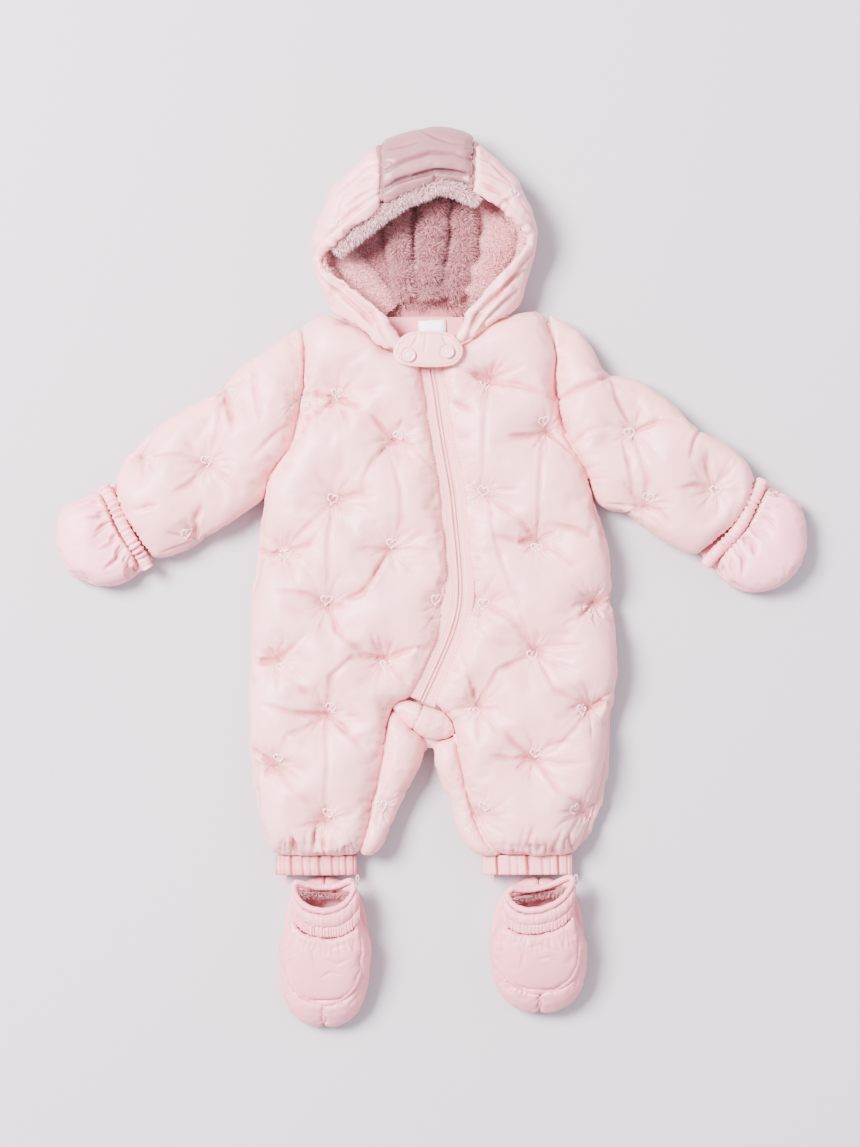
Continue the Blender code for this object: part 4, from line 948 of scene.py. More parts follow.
def stitchLine(bm, tree, line, step=3.4, long=2.4, thick=0.55, proud=0.1):
    # a row of stitches along a line, laid on the surface below it
    rows = resampled(smoothLine(line), step * mm)
    for a, b in zip(rows, rows[1:]):
        middle = (a + b) / 2
        spot, normal, _, away = tree.find_nearest(middle)
        if spot is None or away > 12 * mm:
            continue
        bead(bm, spot + normal * proud * mm, b - a, normal, (long * mm, thick * mm, thick * mm))


heart = {"width": 10.5, "height": 10.0, "stitch": 2.5, "thread": 1.15, "thick": 1.1, "lift": 0.3, "count": 38}


def heartPoint(turn):
    # outline of a heart, 1 high, from its top notch round
    x = 16 * math.sin(turn) ** 3
    y = 13 * math.cos(turn) - 5 * math.cos(2 * turn) - 2 * math.cos(3 * turn) - math.cos(4 * turn)
    return x / 34, (y + 2.5) / 30


def sewHeart(bm, tree, place, up, lean):
    spot, normal, _, _ = tree.find_nearest(place)
    if spot is None:
        return
    normal = (normal + up * 0.6).normalized()
    across = Vector((0, 1, 0)).cross(normal).normalized()
    rise = normal.cross(across).normalized()
    turned = Matrix.Rotation(lean, 3, normal)
    across = turned @ across
    rise = turned @ rise
    for k in range(heart["count"]):
        turn = k / heart["count"] * math.tau
        x, y = heartPoint(turn)
        point = spot + across * x * heart["width"] * mm + rise * y * heart["height"] * mm
        hit, out, _, _ = tree.find_nearest(point)
        # satin stitches lie across the outline
        size = (heart["stitch"] * mm, heart["thread"] * mm, heart["thick"] * mm)
        bead(bm, hit + out * heart["lift"] * mm, spot - point, out, size)


bm = bmesh.new()
bodyTree = surfaceOf("frontPanel.left", "frontPanel.right", "innerLeg.left")
armTree = surfaceOf("sleevePanel.left", "sleevePanel.right")
headTree = surfaceOf("hoodSide.left", "hoodSide.right", "hoodCrown")
rng = random.Random(8)
skyward = Vector((0, 0, 1))
for x, y in tufts:
    tree = armTree if abs(x) > 160 else bodyTree
    sewHeart(bm, tree, at(x, y, 42), skyward, rng.uniform(-0.25, 0.25))
for x, y, z in hoodTufts:
    sewHeart(bm, headTree, at(x, y, z), skyward, rng.uniform(-0.3, 0.3))
addPiece("embroideredHearts", bm, "hearts")
print("hearts: sewn", len(tufts) + len(hoodTufts))

# topstitching beside the zip
bm = bmesh.new()
for line in (beside(zipPoints, -12.5), beside(zipPoints, 12.5)):
    stitchLine(bm, bodyTree, [at(x, y, 36) for x, y in line], 3.2, 2.4, 0.8, 0.2)
addPiece("zipTopstitch", bm, "stitches")


# the zip: two tapes, two rows of teeth and a slider
zipper = {"tapeHeight": 33.6, "tapeIn": 0.5, "tapeOut": 13.5, "tapeThick": 0.8, "pitch": 1.25,
          "tooth": (2.7, 1.15, 1.5), "toothAway": 0.95, "toothSunk": 0.5}
zipLine = smoothLine([at(x, y, zipper["tapeHeight"]) for x, y in zipPoints], 8)


def ribbon(name, line, near, far, look, thick, stands, rise, across):
    # a band of cloth along a line, from one distance beside it to another; thick in millimetres
    bm = bmesh.new()
    count = len(line) - 1
    bmesh.ops.create_grid(bm, x_segments=across, y_segments=count, size=0.5)
    for vert in bm.verts:
        u = vert.co.x + 0.5
        i = round((vert.co.y + 0.5) * count)
        way = (line[min(i + 1, count)] - line[max(i - 1, 0)]).normalized()
        out = Vector((-way.y, way.x, 0))
        lift = Vector((0, 0, rise(u, i / count) * mm))
        vert.co = line[i] + out * (near + (far - near) * u) * mm + lift
    bmesh.ops.recalc_face_normals(bm, faces=bm.faces[:])
    if sum(face.normal.z for face in bm.faces) < 0:
        bmesh.ops.reverse_faces(bm, faces=bm.faces[:])
    obj = addPiece(name, bm, look, stands)
    applied(obj, "SOLIDIFY", thickness=thick * mm, offset=-1.0)
    obj.data.shade_smooth()
    return obj


def tapeRise(u, share):
    # the coil bulges under the tape beside the middle, and two woven lines sink beside it
    out = u * (zipper["tapeOut"] - zipper["tapeIn"])
    coil = 1.3 * math.exp(-(((out - 1.2) / 0.8) ** 2))
    lines = 1.1 * math.exp(-(((out - 2.7) / 0.5) ** 2)) + 0.7 * math.exp(-(((out - 4.6) / 0.5) ** 2))
    return coil - lines + 0.2 * math.sin(share * 60)


tapeLine = resampled(zipLine, 3 * mm)
for side, turned in (("left", -1), ("right", 1)):
    tape = ribbon(f"zipTape.{side}", tapeLine, turned * zipper["tapeIn"], turned * zipper["tapeOut"],
                  "tape", zipper["tapeThick"], [f"zip_tape_{side}"], tapeRise, 24)
bm = bmesh.new()
teethLine = resampled(zipLine, zipper["pitch"] * mm)
for a, b in zip(teethLine, teethLine[1:]):
    way = (b - a).normalized()
    out = Vector((-way.y, way.x, 0))
    for turned in (-1, 1):
        place = a.lerp(b, 0.25 if turned < 0 else 0.75) + out * turned * zipper["toothAway"] * mm
        place -= skyward * zipper["toothSunk"] * mm
        bead(bm, place, out + way * 0.25 * turned, skyward, [s * mm for s in zipper["tooth"]])
addPiece("zipTeeth", bm, "coil", ["zip_coil"])
addPiece("zipSlider", cadCopy("zip_slider"), "coil", ["zip_slider"])


# the neck tab, with a stitched edge, and its two snaps
tab = {"bulge": 1.2, "ripple": 0.15, "rippleLength": 5.5, "groove": 0.9, "grooveRadius": 6.4,
       "grooveWidth": 0.9, "stitchX": 0.9, "stitchY": 0.84}
tabPlan = ((-33.5, 199), (-31, 210), (-18, 220), (13.5, 220), (26, 210), (28.5, 201), (20, 190.5),
           (-3, 188.5), (-26, 191))
tabCreases = [
    (0.7, 1.6, ((-12, 218), (-14, 212), (-18, 206))),
    (0.7, 1.6, ((10, 218), (12, 212), (14, 208))),
    (0.5, 1.6, ((-4, 219), (-5, 210), (-6, 200))),
]
tabLow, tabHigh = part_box("neck_tab")
neckTab = addPiece("neckTab", cadCopy("neck_tab"), "shell", ["neck_tab"])
applied(neckTab, "REMESH", mode="VOXEL", voxel_size=1.0 * mm)
relax(neckTab, 3)
points = coordinates(neckTab.data)
middle = (tabLow + tabHigh) / 2
half = (tabHigh - tabLow) / 2
spread = ((points[:, 0] - middle.x) / half.x) ** 2 + ((points[:, 1] - middle.y) / half.y) ** 2
ripple = np.sin(points[:, 0] / (tab["rippleLength"] * mm) + 3 * points[:, 1] / (30 * mm))
points[:, 2] += np.clip(1 - spread, 0, 1) * tab["bulge"] * mm + tab["ripple"] * mm * ripple
for side in sides:
    low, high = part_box(f"snap_{side}")
    gap = np.hypot(points[:, 0] - (low.x + high.x) / 2, points[:, 1] - (low.y + high.y) / 2)
    off = (gap - tab["grooveRadius"] * mm) / (tab["grooveWidth"] * mm)
    points[:, 2] -= np.where(points[:, 2] > middle.z, tab["groove"] * mm * np.exp(-(off**2)), 0)
setCoordinates(neckTab.data, points)
creased(neckTab, tabCreases)
markPaintedShade(neckTab)
tabTree = surfaceOf("neckTab")
bm = bmesh.new()
ring = [Vector((middle.x + (x * mm - middle.x) * tab["stitchX"],
                middle.y + (y * mm + patternY - middle.y) * tab["stitchY"], tabHigh.z)) for x, y in tabPlan]
ring.append(ring[0].copy())
stitchLine(bm, tabTree, ring, 2.8, 2.1, 0.9, 0.2)
tabStitches = addPiece("tabStitches", bm, "stitches")

# half the section of a snap cap: radius and height
snapShape = ((0.0, 1.5), (2.9, 1.4), (3.3, 1.2), (3.7, 1.5), (4.7, 2.1), (5.3, 1.9), (5.65, 1.3), (5.7, 0.0),
             (5.2, -0.5))
for side in sides:
    low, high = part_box(f"snap_{side}")
    bm = bmesh.new()
    previous = None
    for radius, height in snapShape:
        vert = bm.verts.new((radius * mm, 0, height * mm))
        if previous:
            bm.edges.new((previous, vert))
        previous = vert
    bmesh.ops.spin(bm, geom=bm.verts[:] + bm.edges[:], cent=(0, 0, 0), axis=(0, 0, 1), angle=math.tau,
                   steps=40, use_merge=True)
    bmesh.ops.remove_doubles(bm, verts=bm.verts[:], dist=0.02 * mm)
    bmesh.ops.holes_fill(bm, edges=[edge for edge in bm.edges if edge.is_boundary], sides=0)
    bmesh.ops.recalc_face_normals(bm, faces=bm.faces[:])
    centre = (low + high) / 2
    spot = tabTree.find_nearest(centre)[0]
    bmesh.ops.translate(bm, vec=(centre.x, centre.y, spot.z + 0.5 * mm), verts=bm.verts[:])
    addPiece(f"snapCap.{side}", bm, "snap", [f"snap_{side}"])
print("neck: tab and snaps")


def orderFaces(bm):
    # extruding and merging leave the faces in no set order, and the seed of a pile goes by it
    bm.verts.index_update()
    total = len(bm.verts)

    def rank(face):
        low, middle, high = sorted(vert.index for vert in face.verts)[:3]
        return (low * total + middle) * total + high

    bm.faces.sort(key=rank)


# gathered bands and rolls
def loftRings(rings, closed):
    # joins rings of points into one skin; closed joins the last to the first, else the ends are filled
    bm = bmesh.new()
    bmesh.ops.create_circle(bm, segments=len(rings[0]), radius=1.0)
    order = bm.verts.layers.int.new("order")
    for k, vert in enumerate(bm.verts[:]):
        vert[order] = k
        vert.co = rings[0][k]
    start = bm.edges[:]
    edges = start
    if not closed:
        bmesh.ops.edgenet_fill(bm, edges=start)
    for ring in rings[1:]:
        grown = bmesh.ops.extrude_edge_only(bm, edges=edges)["geom"]
        fresh = {item for item in grown if isinstance(item, bmesh.types.BMVert)}
        edges = [item for item in grown
                 if isinstance(item, bmesh.types.BMEdge) and set(item.verts) <= fresh]
        for vert in fresh:
            vert.co = ring[vert[order]]
    if closed:
        bmesh.ops.bridge_loops(bm, edges=start + edges)
    else:
        bmesh.ops.edgenet_fill(bm, edges=edges)
    bmesh.ops.recalc_face_normals(bm, faces=bm.faces[:])
    orderFaces(bm)
    return bm


def ruched(name, path, closed, width, height, look, stands, seed, pitch=4.5, deep=0.22, around=16,
           step=1.1):
    # a rounded band with uneven ruches; path holds points along its middle, width lies beside the path in
    # plan and height is up, in millimetres
    rng = random.Random(seed)
    rows = resampled(path + [path[0]] if closed else path, step * mm)
    if closed:
        rows = rows[:-1]
    count = len(rows)
    waves = [(rng.uniform(0.75, 1.35) * math.tau * step / pitch, rng.uniform(0, math.tau)) for _ in range(3)]
    rings = []
    out = Vector((1, 0, 0))
    rise = Vector((0, 0, 1))
    for i, here in enumerate(rows):
        before = rows[(i - 1) % count] if closed else rows[max(i - 1, 0)]
        after = rows[(i + 1) % count] if closed else rows[min(i + 1, count - 1)]
        way = (after - before).normalized()
        if math.hypot(way.x, way.y) > 0.35:
            out = Vector((-way.y, way.x, 0)).normalized()
        turned = way.cross(out).normalized()
        rise = turned if turned.dot(rise) >= 0 else -turned
        gather = sum(math.sin(i * f + p) for f, p in waves) / 3
        ring = []
        for k in range(around):
            turn = k / around * math.tau
            slant = math.sin(turn * 2 + i * 0.37) * 0.25
            swell = 1 + deep * (gather + slant * gather) - deep * 0.4
            ring.append(here + out * math.cos(turn) * width / 2 * mm * (1 + 0.3 * (swell - 1))
                        + rise * math.sin(turn) * height / 2 * mm * swell)
        rings.append(ring)
    obj = addPiece(name, loftRings(rings, closed), look, stands)
    markPaintedShade(obj, 1.3, 3)
    return obj


bandPoints = {
    "left": ((-300, 82), (-293, 70), (-288.5, 61), (-284, 51), (-279, 41), (-273, 31), (-266, 20), (-260, 8)),
    "right": ((304, 88), (298, 75), (292, 63), (286, 51), (279, 41), (271, 32), (262, 23), (252, 11)),
}
band = {"inward": 4.5, "low": 21, "rise": 8, "width": 11.5, "height": 13, "pitch": 5.0, "deep": 0.55}
for side in sides:
    inward = band["inward"] if side == "left" else -band["inward"]
    line = [at(x + inward, y + 1) for x, y in bandPoints[side]]
    for k, point in enumerate(line):
        point.z = (band["low"] + band["rise"] * math.sin(math.pi * (k + 0.6) / len(line))) * mm
    gathers = ruched(f"mittenGathers.{side}", smoothLine(line), False, band["width"], band["height"],
                     "mitten", [f"mitten_elastic_{side}"], 41, band["pitch"], band["deep"])

# leg cuffs: ruched cloth over elastic, flattened, open through
legBand = {"around": 300, "ribs": (17, 25, 34), "ruches": 2.6, "insideRuches": 0.5, "flatness": 0.55}
cuffRings = (
    # how far down the cuff, and how wide; the narrow ones line its inside
    (0.0, 0.94), (0.06, 1.0), (0.2, 1.03), (0.35, 1.0), (0.5, 1.02), (0.65, 1.0), (0.8, 1.03), (0.94, 1.0),
    (1.0, 0.95), (0.97, 0.78), (0.5, 0.74), (0.03, 0.78),
)


def legCuff(side, seed):
    low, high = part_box(f"leg_cuff_{side}")
    rng = random.Random(seed)
    ribs = [(count, rng.uniform(0, math.tau)) for count in legBand["ribs"]]
    middle = (low + high) / 2
    half = (high - low) / 2
    rings = []
    for share, shrink in cuffRings:
        ring = []
        inner = shrink < 0.9
        for k in range(legBand["around"]):
            turn = k / legBand["around"] * math.tau
            gather = sum(math.sin(turn * n + p + share * 0.8) for n, p in ribs) / 3
            gather = 0.55 - 2.2 * max(gather, 0.0) ** 1.3
            depth = (legBand["insideRuches"] if inner else legBand["ruches"]) * mm * gather
            x = math.cos(turn) * (half.x - 1.2 * mm) * (shrink if inner else 1)
            flat = math.copysign(abs(math.sin(turn)) ** legBand["flatness"], math.sin(turn))
            z = flat * (half.z - 1.5 * mm) * (0.3 if inner else shrink)
            ring.append(Vector((middle.x + x, high.y - share * (high.y - low.y) + 0.4 * mm * gather,
                                middle.z + z + depth * abs(flat))))
        rings.append(ring)
    obj = addPiece(f"legCuff.{side}", loftRings(rings, True), "elastic", [f"leg_cuff_{side}"])
    markPaintedShade(obj, 1.2, 3)
    return obj


for side in sides:
    cuff = legCuff(side, 51 if side == "left" else 52)
print("bands: mitten gathers and leg cuffs")


# bootees: soles, collars, bindings and gathered throats; the fur inside them is planted with the rest of the
# fur
def softened(name, node, look, voxel, rounds, grow):
    # a soft copy of a node that needs no pressure
    obj = addPiece(name, cadCopy(node), look, [node])
    applied(obj, "REMESH", mode="VOXEL", voxel_size=voxel * mm)
    relax(obj, rounds)
    points = coordinates(obj.data) + normals(obj.data) * grow * mm
    points[:, 2] = np.maximum(points[:, 2], 0)
    setCoordinates(obj.data, points)
    return obj


def gather(obj, count, depth, seed, upright):
    # uneven ruches across a band: fanned out from its middle, or upright and side by side
    rng = random.Random(seed)
    points = coordinates(obj.data)
    outward = normals(obj.data)
    middle = (points.min(0) + points.max(0)) / 2
    half = (points.max(0) - points.min(0)) / 2
    turn = np.arctan2((points[:, 1] - middle[1]) / half[1], (points[:, 0] - middle[0]) / half[0])
    if upright:
        turn = (points[:, 0] - middle[0]) / half[0] * 1.7
    swell = np.zeros(len(points))
    for share in (0.8, 1.0, 1.3):
        swell += np.sin(turn * round(count * share) + rng.uniform(0, math.tau)) / 3
    setCoordinates(obj.data, points + outward * (np.abs(swell) ** 0.8 * np.sign(swell) * depth * mm)[:, None])


bootParts = (
    # node, piece, look, slot, voxel, rounds, grow, gathers, depth, fill
    ("sole", "bootSole", "sole", "sole", 2.0, 3, 0.8, 0, 0, 0.4),
    ("collar", "bootCollar", "bootee", "shell", 1.4, 3, 1.2, 24, 0.25, 0.5),
    ("binding", "bootBinding", "bootee", "shell", 1.2, 2, 0.7, 18, 0.18, 0.5),
    ("elastic", "bootGathers", "bootee", "elastic", 1.2, 2, 1.0, 48, 0.8, 0.4),
)
for side in sides:
    for node, name, look, slot, voxel, rounds, grow, gathers, depth, fill in bootParts:
        obj = softened(f"{name}.{side}", f"bootee_{node}_{side}", look, voxel, rounds, grow)
        if gathers:
            gather(obj, gathers, depth, 61, node != "binding")
        if node in ("collar", "binding", "elastic"):
            taper(obj, side, 0.92)
        if node == "collar":
            crumpled(obj, 7, 0.5, 3)
        markPaintedShade(obj)
print("bootees: modelled")


def evened(points, rounds):
    # takes the jumps out of a line, leaving its ends where they are
    for _ in range(rounds):
        inside = ((a + b * 2 + c) / 4 for a, b, c in zip(points, points[1:], points[2:]))
        points = [points[0], *inside, points[-1]]
    return points


def welt(name, line, tree, look, radius, under, seed, down=(), toward=1):
    # the turned-in cloth at the foot of a seam, which closes the gap between two panels;
    # down holds the heights where the seam runs on down a side that faces away from toward
    spots = []
    for point in resampled(smoothLine([at(x, y) for x, y in line]), 3 * mm):
        heights = []
        for dx, dy in ((-4, 0), (4, 0), (0, 4), (0, -4)):
            hit = surfaceBelow(tree, point.x + dx * mm, point.y + dy * mm)
            if hit:
                heights.append(hit.z)
        if heights:
            top = sorted(heights)[len(heights) // 2]
            spots.append(Vector((point.x, point.y, max(top - under * mm, (radius + 1) * mm))))
    x = line[-1][0]
    for z in down:
        hits = []
        for dx in (-4, 4):
            hit = tree.ray_cast(at(x + dx, -600 * toward, z), Vector((0, toward, 0)))[0]
            if hit:
                hits.append(hit.y)
        if hits:
            spots.append(Vector((x * mm, sum(hits) / len(hits) + toward * under * mm, z * mm)))
    obj = ruched(name, evened(spots, 3), False, radius * 2, radius * 2, look, (), seed, 7.0, 0.12,
                 10, 2.0)


torsoTree = surfaceOf("frontPanel.left", "frontPanel.right", "sleevePanel.left", "sleevePanel.right",
                      "innerLeg.left", "innerLeg.right", "crotchPanel.left", "crotchPanel.right")
welt("armholeWelt.left", armholeLeft, torsoTree, "shell", 4.5, 10.5, 1)
welt("armholeWelt.right", ((105, 231), (107, 222), *armholeRight[1:]), torsoTree, "shell", 4.5, 10.5, 2)
welt("innerSeamWelt.left", ((-30, -118), *seamInLeft[1:]), torsoTree, "shell", 3.5, 8.0, 3)
welt("innerSeamWelt.right", seamInRight, torsoTree, "shell", 3.5, 8.0, 4)
welt("crownWelt.left", ((-44, 336), (-45, 356), (-46, 378), (-46, 390)), headTree, "crown", 4.0, 5.6, 5,
     (24, 17, 10, 5), -1)
welt("crownWelt.right", ((36, 347), (37, 360), (38, 380), (40, 394)), headTree, "crown", 4.0, 5.6, 6,
     (24, 17, 10, 5), -1)
toeSeams = {
    "left": (((-126, -338), (-127, -348), (-124, -362), (-114, -376), (-98, -381), (-84, -379), (-71, -368),
              (-65, -354), (-63, -338)), ((-96, -382), (-96, -392), (-96, -400))),
    "right": (((64, -334), (65, -346), (70, -358), (82, -367.5), (98, -370.5), (112, -368), (125, -359),
               (130.5, -346), (131, -334)), ((98, -374), (98, -381), (98, -388))),
}
for side in sides:
    footTree = surfaceOf(f"bootVamp.{side}", f"bootOuter.{side}", f"bootInner.{side}")
    for part, line in zip(("vampWelt", "toeWelt"), toeSeams[side]):
        welt(f"{part}.{side}", line, footTree, "bootee", 3.4, 4.6, 7, (15, 9) if part == "toeWelt" else ())
# under the outer edges of the zip's tapes
for side, away in (("left", -12.4), ("right", 12.4)):
    edge = [at(x, y, zipper["tapeHeight"] - 4.2) for x, y in beside(zipPoints, away)]
    obj = ruched(f"zipWelt.{side}", smoothLine(edge), False, 6.5, 6.5, "shell", (), 8, 7.0, 0.1,
                 10, 2.5)
print("seams: welts laid")


# fur: blades planted by Geometry Nodes on a base, with the instances made real
def bladeMesh(name, long, wide, bend):
    # one tuft of pile: a narrow tapered strip that bends over; reach runs from 0 at its root to 1 at its tip
    bm = bmesh.new()
    bmesh.ops.create_grid(bm, x_segments=1, y_segments=2, size=0.5)
    reach = bm.verts.layers.float.new("reach")
    for vert in bm.verts:
        share = vert.co.y + 0.5
        vert[reach] = share
        vert.co = Vector((vert.co.x * wide * mm * (1 - 0.6 * share), bend * long * mm * share**2,
                          long * mm * share))
    tips = [vert for vert in bm.verts if vert[reach] > 0.9]
    bmesh.ops.pointmerge(bm, verts=tips, merge_co=Vector((0, bend * long * mm, long * mm)))
    return bpy.data.objects.new(name, newMesh(name, bm))


def growFur(name, base, spec, keep):
    # base: the piece that carries the pile; keep(centre, normal) picks the faces that grow it
    bm = bmesh.new()
    bm.from_mesh(base.data)
    drop = [face for face in bm.faces if not keep(face.calc_center_median(), face.normal)]
    bmesh.ops.delete(bm, geom=drop, context="FACES")
    mesh = newMesh(name, bm)
    obj = newObject(name, mesh)
    blade = bladeMesh(name + "Blade", spec["long"], spec["wide"], spec["bend"])
    tree = bpy.data.node_groups.new(name, "GeometryNodeTree")
    tree.interface.new_socket("Geometry", in_out="INPUT", socket_type="NodeSocketGeometry")
    tree.interface.new_socket("Geometry", in_out="OUTPUT", socket_type="NodeSocketGeometry")
    start = addNode(tree, "NodeGroupInput")
    points = addNode(tree, "GeometryNodeDistributePointsOnFaces",
                     {"Mesh": start.outputs[0], "Density": spec["density"] / mm**2, "Seed": spec["seed"]})
    where = addNode(tree, "GeometryNodeInputPosition")
    clump = addNode(tree, "ShaderNodeTexNoise", {"Vector": where, "Scale": 1 / (spec["clump"] * mm),
                                                 "Detail": 2.0})
    centred = addNode(tree, "ShaderNodeVectorMath", {0: clump.outputs["Color"], 1: (0.5, 0.5, 0.5)},
                      operation="SUBTRACT")
    clumped = addNode(tree, "ShaderNodeVectorMath", {0: centred, "Scale": spec["clumpLean"]},
                      operation="SCALE")
    stray = addNode(tree, "FunctionNodeRandomValue", {0: (-spec["stray"],) * 3, 1: (spec["stray"],) * 3,
                                                      "Seed": spec["seed"] + 1}, data_type="FLOAT_VECTOR")
    lean = points.outputs["Normal"]
    for push in (clumped, stray, spec["comb"]):
        lean = addNode(tree, "ShaderNodeVectorMath", {0: lean, 1: push}, operation="ADD")
    turn = addNode(tree, "FunctionNodeRandomValue", {2: 0.0, 3: math.tau, "Seed": spec["seed"] + 2},
                   data_type="FLOAT")
    spun = addNode(tree, "ShaderNodeCombineXYZ", {"Z": turn.outputs[1]})
    pointed = addNode(tree, "FunctionNodeAlignRotationToVector", {"Vector": lean}, axis="Z")
    rotated = addNode(tree, "FunctionNodeRotateRotation", {"Rotation": pointed, "Rotate By": spun},
                      rotation_space="LOCAL")
    size = addNode(tree, "FunctionNodeRandomValue", {2: 0.65, 3: 1.2, "Seed": spec["seed"] + 3},
                   data_type="FLOAT")
    info = addNode(tree, "GeometryNodeObjectInfo", {"Object": blade})
    placed = addNode(tree, "GeometryNodeInstanceOnPoints",
                     {"Points": points.outputs["Points"], "Instance": info.outputs["Geometry"],
                      "Rotation": rotated, "Scale": size.outputs[1]})
    real = addNode(tree, "GeometryNodeRealizeInstances", {0: placed})
    addNode(tree, "NodeGroupOutput", {0: real})
    modifier = obj.modifiers.new("fur", "NODES")
    modifier.node_group = tree
    grown = evaluated(obj)
    obj.modifiers.clear()
    obj.data = grown
    bpy.data.meshes.remove(mesh)
    bpy.data.objects.remove(blade)
    bpy.data.node_groups.remove(tree)
    grown.materials.clear()
    grown.materials.append(looks[spec["look"]])
    obj.parent = base
    print("fur:", name, len(grown.polygons), "faces")
    return obj


# lengths in millimetres, density in blades to a square millimetre; clump is the size of a lock of pile
hoodFur = {"long": 5.5, "wide": 0.65, "bend": 0.4, "density": 2.0, "seed": 5, "clump": 12, "clumpLean": 0.9,
           "stray": 0.35, "comb": (0.0, -0.25, 0.1), "look": "fur"}
brimFur = {**hoodFur, "long": 6.0, "wide": 0.7, "density": 3.0, "seed": 9, "clump": 8, "clumpLean": 1.8,
           "comb": (0.0, -0.5, 0.1), "look": "paintedLitFur"}
sideFur = {**hoodFur, "long": 2.6, "wide": 0.6, "density": 1.8, "clump": 7, "look": "napFur"}
bootFur = {**hoodFur, "long": 4.5, "wide": 0.6, "density": 1.6, "clump": 5, "comb": (0, 0, 0.3)}

furBase = softened("hoodFurBase", "hood_lining_back", "fur", 2.4, 5, 2.6)
folds = [
    (7.0, 4.0, ((-14, 345), (-15, 320), (-13, 296))),
    (4.0, 4.0, ((8, 345), (10, 325), (8, 305))),
    (5.0, 4.0, ((-36, 330), (-34, 300), (-28, 270))),
    (3.0, 4.0, ((28, 325), (30, 300), (24, 275))),
    (3.0, 4.0, ((-8, 282), (2, 268), (14, 252))),
]
creased(furBase, folds)
crumpled(furBase, 18, 3.0, 2)
hoodMiddle = at(-4, 290, 40)


def facesInside(place, normal):
    return normal.dot((hoodMiddle - place).normalized()) > -0.5


innerPad = {"middle": (-6, 290, 9), "half": (70, 66, 5)}
bm = bmesh.new()
bmesh.ops.create_uvsphere(bm, u_segments=48, v_segments=16, radius=1.0)
for vert in bm.verts:
    vert.co = at(*(m + c * h for m, c, h in zip(innerPad["middle"], vert.co, innerPad["half"])))
orderFaces(bm)
inner = addPiece("hoodInnerPad", bm, "fur")
growFur("hoodInnerFur", inner, {**hoodFur, "long": 6.0, "density": 0.8, "seed": 31},
        lambda place, normal: normal.z > 0.3 and abs(place.x - hoodMiddle.x) > 24 * mm)
growFur("hoodFur", furBase, {**hoodFur, "density": 0.9}, facesInside)
for side in sides:
    lining = softened(f"hoodLining.{side}", f"hood_lining_{side}", "fleece", 2.4, 4, 2.0)
    crumpled(lining, 20, 2.4, 5)
    markPaintedShade(lining)
    growFur(f"sideNap.{side}", lining, {**sideFur, "density": 1.0, "seed": 21 if side == "left" else 23},
            lambda place, normal: normal.z > 0.2 and normal.dot((hoodMiddle - place).normalized()) > 0)

# plush that bunches inside the hood: upright rolls at the back, broad ones down both sides
bunches = (
    # name, look, width, height, points
    ("hoodBunch.a", "fur", 17, 26, ((-31, 336), (-30, 310), (-26, 280), (-20, 250))),
    ("hoodBunch.b", "fur", 22, 30, ((3, 342), (1, 312), (-2, 284), (-2, 252))),
    ("hoodBunch.c", "fur", 20, 26, ((28, 338), (31, 312), (27, 284), (15, 254))),
    ("hoodBunch.d", "napFur", 27, 20, ((-84, 292), (-68, 277), (-53, 259), (-38, 240))),
    ("hoodBunch.e", "napFur", 32, 22, ((70, 322), (60, 302), (50, 282), (35, 252))),
)
baseTree = surfaceOf("hoodFurBase", "hoodInnerPad", "hoodLining.left", "hoodLining.right")
for k, (name, look, width, height, line) in enumerate(bunches):
    spots = []
    for point in resampled(smoothLine([at(x, y) for x, y in line]), 4 * mm):
        hit = surfaceBelow(baseTree, point.x, point.y)
        spots.append(Vector((point.x, point.y, (hit.z if hit else 20 * mm) + 1.5 * mm)))
    bunch = ruched(name, evened(spots, 6), False, width, height, look, (), 90 + k, 26.0, 0.3, 14, 2.5)
    pile = hoodFur if look == "fur" else sideFur
    growFur(name + ".pile", bunch, {**pile, "seed": 40 + k}, lambda place, normal: normal.z > -0.1)

# a soft roll of the lining that shows under the brim; its lighter colour is painted light where it is lit
rollPoints = ((-83, 295, 42), (-70, 306, 46), (-56, 316, 49), (-41, 327, 52), (-24, 338, 54), (-6, 345, 55),
              (6, 350, 55), (16, 349, 53), (28, 345, 51), (40, 339, 49))
roll = ruched("brimRoll", smoothLine([at(*p) for p in rollPoints]), False, 8, 8, "paintedLitFur", (), 81,
              13.0, 0.4)
growFur("brimFur", roll, brimFur, lambda place, normal: True)

for side in sides:
    lining = softened(f"bootFurBase.{side}", f"bootee_lining_{side}", "fur", 1.6, 2, 0.8)
    taper(lining, side, 0.92)
    low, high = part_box(f"bootee_lining_{side}")
    mouth = (low + high) / 2
    growFur(f"bootFur.{side}", lining, {**bootFur, "seed": 15 if side == "left" else 17},
            lambda place, normal: normal.dot(Vector((mouth.x - place.x, mouth.y - place.y, 4 * mm))) > 0)
print("fur: planted")


# neck facing and its blank label
def thinPiece(name, node, look, widen):
    bm = cadCopy(node)
    bmesh.ops.subdivide_edges(bm, edges=bm.edges[:], cuts=3, use_grid_fill=True)
    obj = addPiece(name, bm, look, [node])
    points = coordinates(obj.data)
    middle = points.mean(0)
    points[:, 0] = middle[0] + (points[:, 0] - middle[0]) * widen
    setCoordinates(obj.data, points)
    crumpled(obj, 9, 0.25, 4)
    markPaintedShade(obj)
    return obj


thinPiece("neckFacing", "neck_facing", "facing", 1.35)
thinPiece("neckLabel", "label", "label", 1.0)

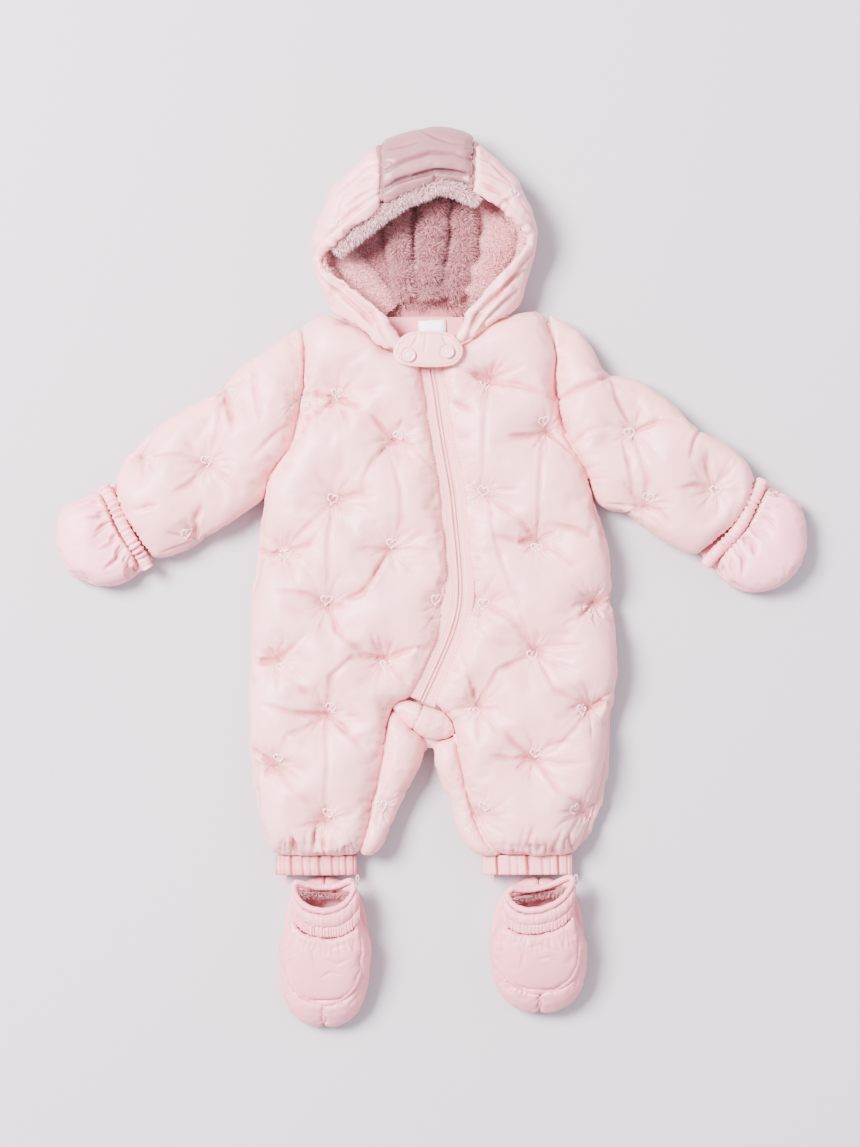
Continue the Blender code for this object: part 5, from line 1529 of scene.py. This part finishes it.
# short tape loops that tie the leg cuffs to the bootees
tieLoop = {"long": 9.0, "wide": 3.4, "thread": 1.1, "lift": 0.8}
for node in ("left_outer", "left_inner", "right_inner", "right_outer"):
    low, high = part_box(f"bootee_loop_{node}")
    centre = (low + high) / 2
    path = []
    for k in range(24):
        turn = k / 24 * math.tau
        path.append(centre + Vector((math.sin(turn) * tieLoop["wide"] / 2 * mm * (0.6 + 0.4 * math.cos(turn)),
                                     math.cos(turn) * tieLoop["long"] / 2 * mm,
                                     tieLoop["lift"] * mm * math.sin(turn))))
    obj = ruched("tieLoop." + node.replace("_", "."), path, True, tieLoop["thread"], tieLoop["thread"],
                 "tape", [f"bootee_loop_{node}"], 71, 3, 0.05, 8, 0.8)
print("neck facing, label and loops")


# thread along the crown's two seams
crownSeams = (
    ((-44.5, 334, 60), (-45, 348, 64), (-45.5, 376, 55), (-46, 391, 29)),
    ((36.5, 348, 60), (37, 358, 64), (37.5, 380, 55), (39, 396, 29)),
)
bm = bmesh.new()
for seam in crownSeams:
    stitchLine(bm, headTree, [at(*p) for p in seam], 2.6, 2.0, 0.5)
addPiece("hoodStitches", bm, "seams")
print("stitches: hood")

# nothing hangs below the table
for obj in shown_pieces():
    if obj.type == "MESH" and obj.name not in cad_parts:
        points = coordinates(obj.data)
        if points[:, 2].min() < 0:
            points[:, 2] = np.maximum(points[:, 2], 0)
            setCoordinates(obj.data, points)


# floor, light and camera
stage = {"floor": "B2AAB2", "size": 3.0, "sky": (0.96, 0.96, 1.0, 1.0), "skyStrength": 1.3}
bm = bmesh.new()
bmesh.ops.create_grid(bm, x_segments=1, y_segments=1, size=stage["size"])
floor = newObject("floor", newMesh("floor", bm))
floor.data.materials.append(newMaterial("painted studio board", 0.75, Base_Color=linear(stage["floor"]))[0])

lights = (
    # name, place, size, watts, colour
    ("keyLight", (-1.95, 1.05, 2.9), 1.35, 790, (1.0, 0.98, 0.96)),
    ("fillLight", (1.5, 0.3, 1.8), 1.8, 25, (0.97, 0.98, 1.0)),
)
for name, spot, size, watts, colour in lights:
    light = bpy.data.lights.new(name, "AREA")
    light.size = size
    light.energy = watts
    light.color = colour
    obj = newObject(name, light)
    obj.location = spot
    obj.rotation_euler = (-Vector(spot)).to_track_quat("-Z", "Y").to_euler()
world = bpy.data.worlds.new("studio")
world.use_nodes = True
background = world.node_tree.nodes["Background"]
background.inputs["Color"].default_value = stage["sky"]
background.inputs["Strength"].default_value = stage["skyStrength"]
scene.world = world

view = {"high": 2.4, "middle": (-0.9, 4.5, 30), "tall": 1.032, "sensor": 36}
lens = bpy.data.cameras.new("camera")
lens.sensor_fit = "VERTICAL"
lens.sensor_height = view["sensor"]
lens.lens = view["sensor"] * (view["high"] - view["middle"][2] * mm) / view["tall"]
camera = newObject("camera", lens)
aim = at(*view["middle"])
camera.location = (aim.x, aim.y, view["high"])
scene.camera = camera
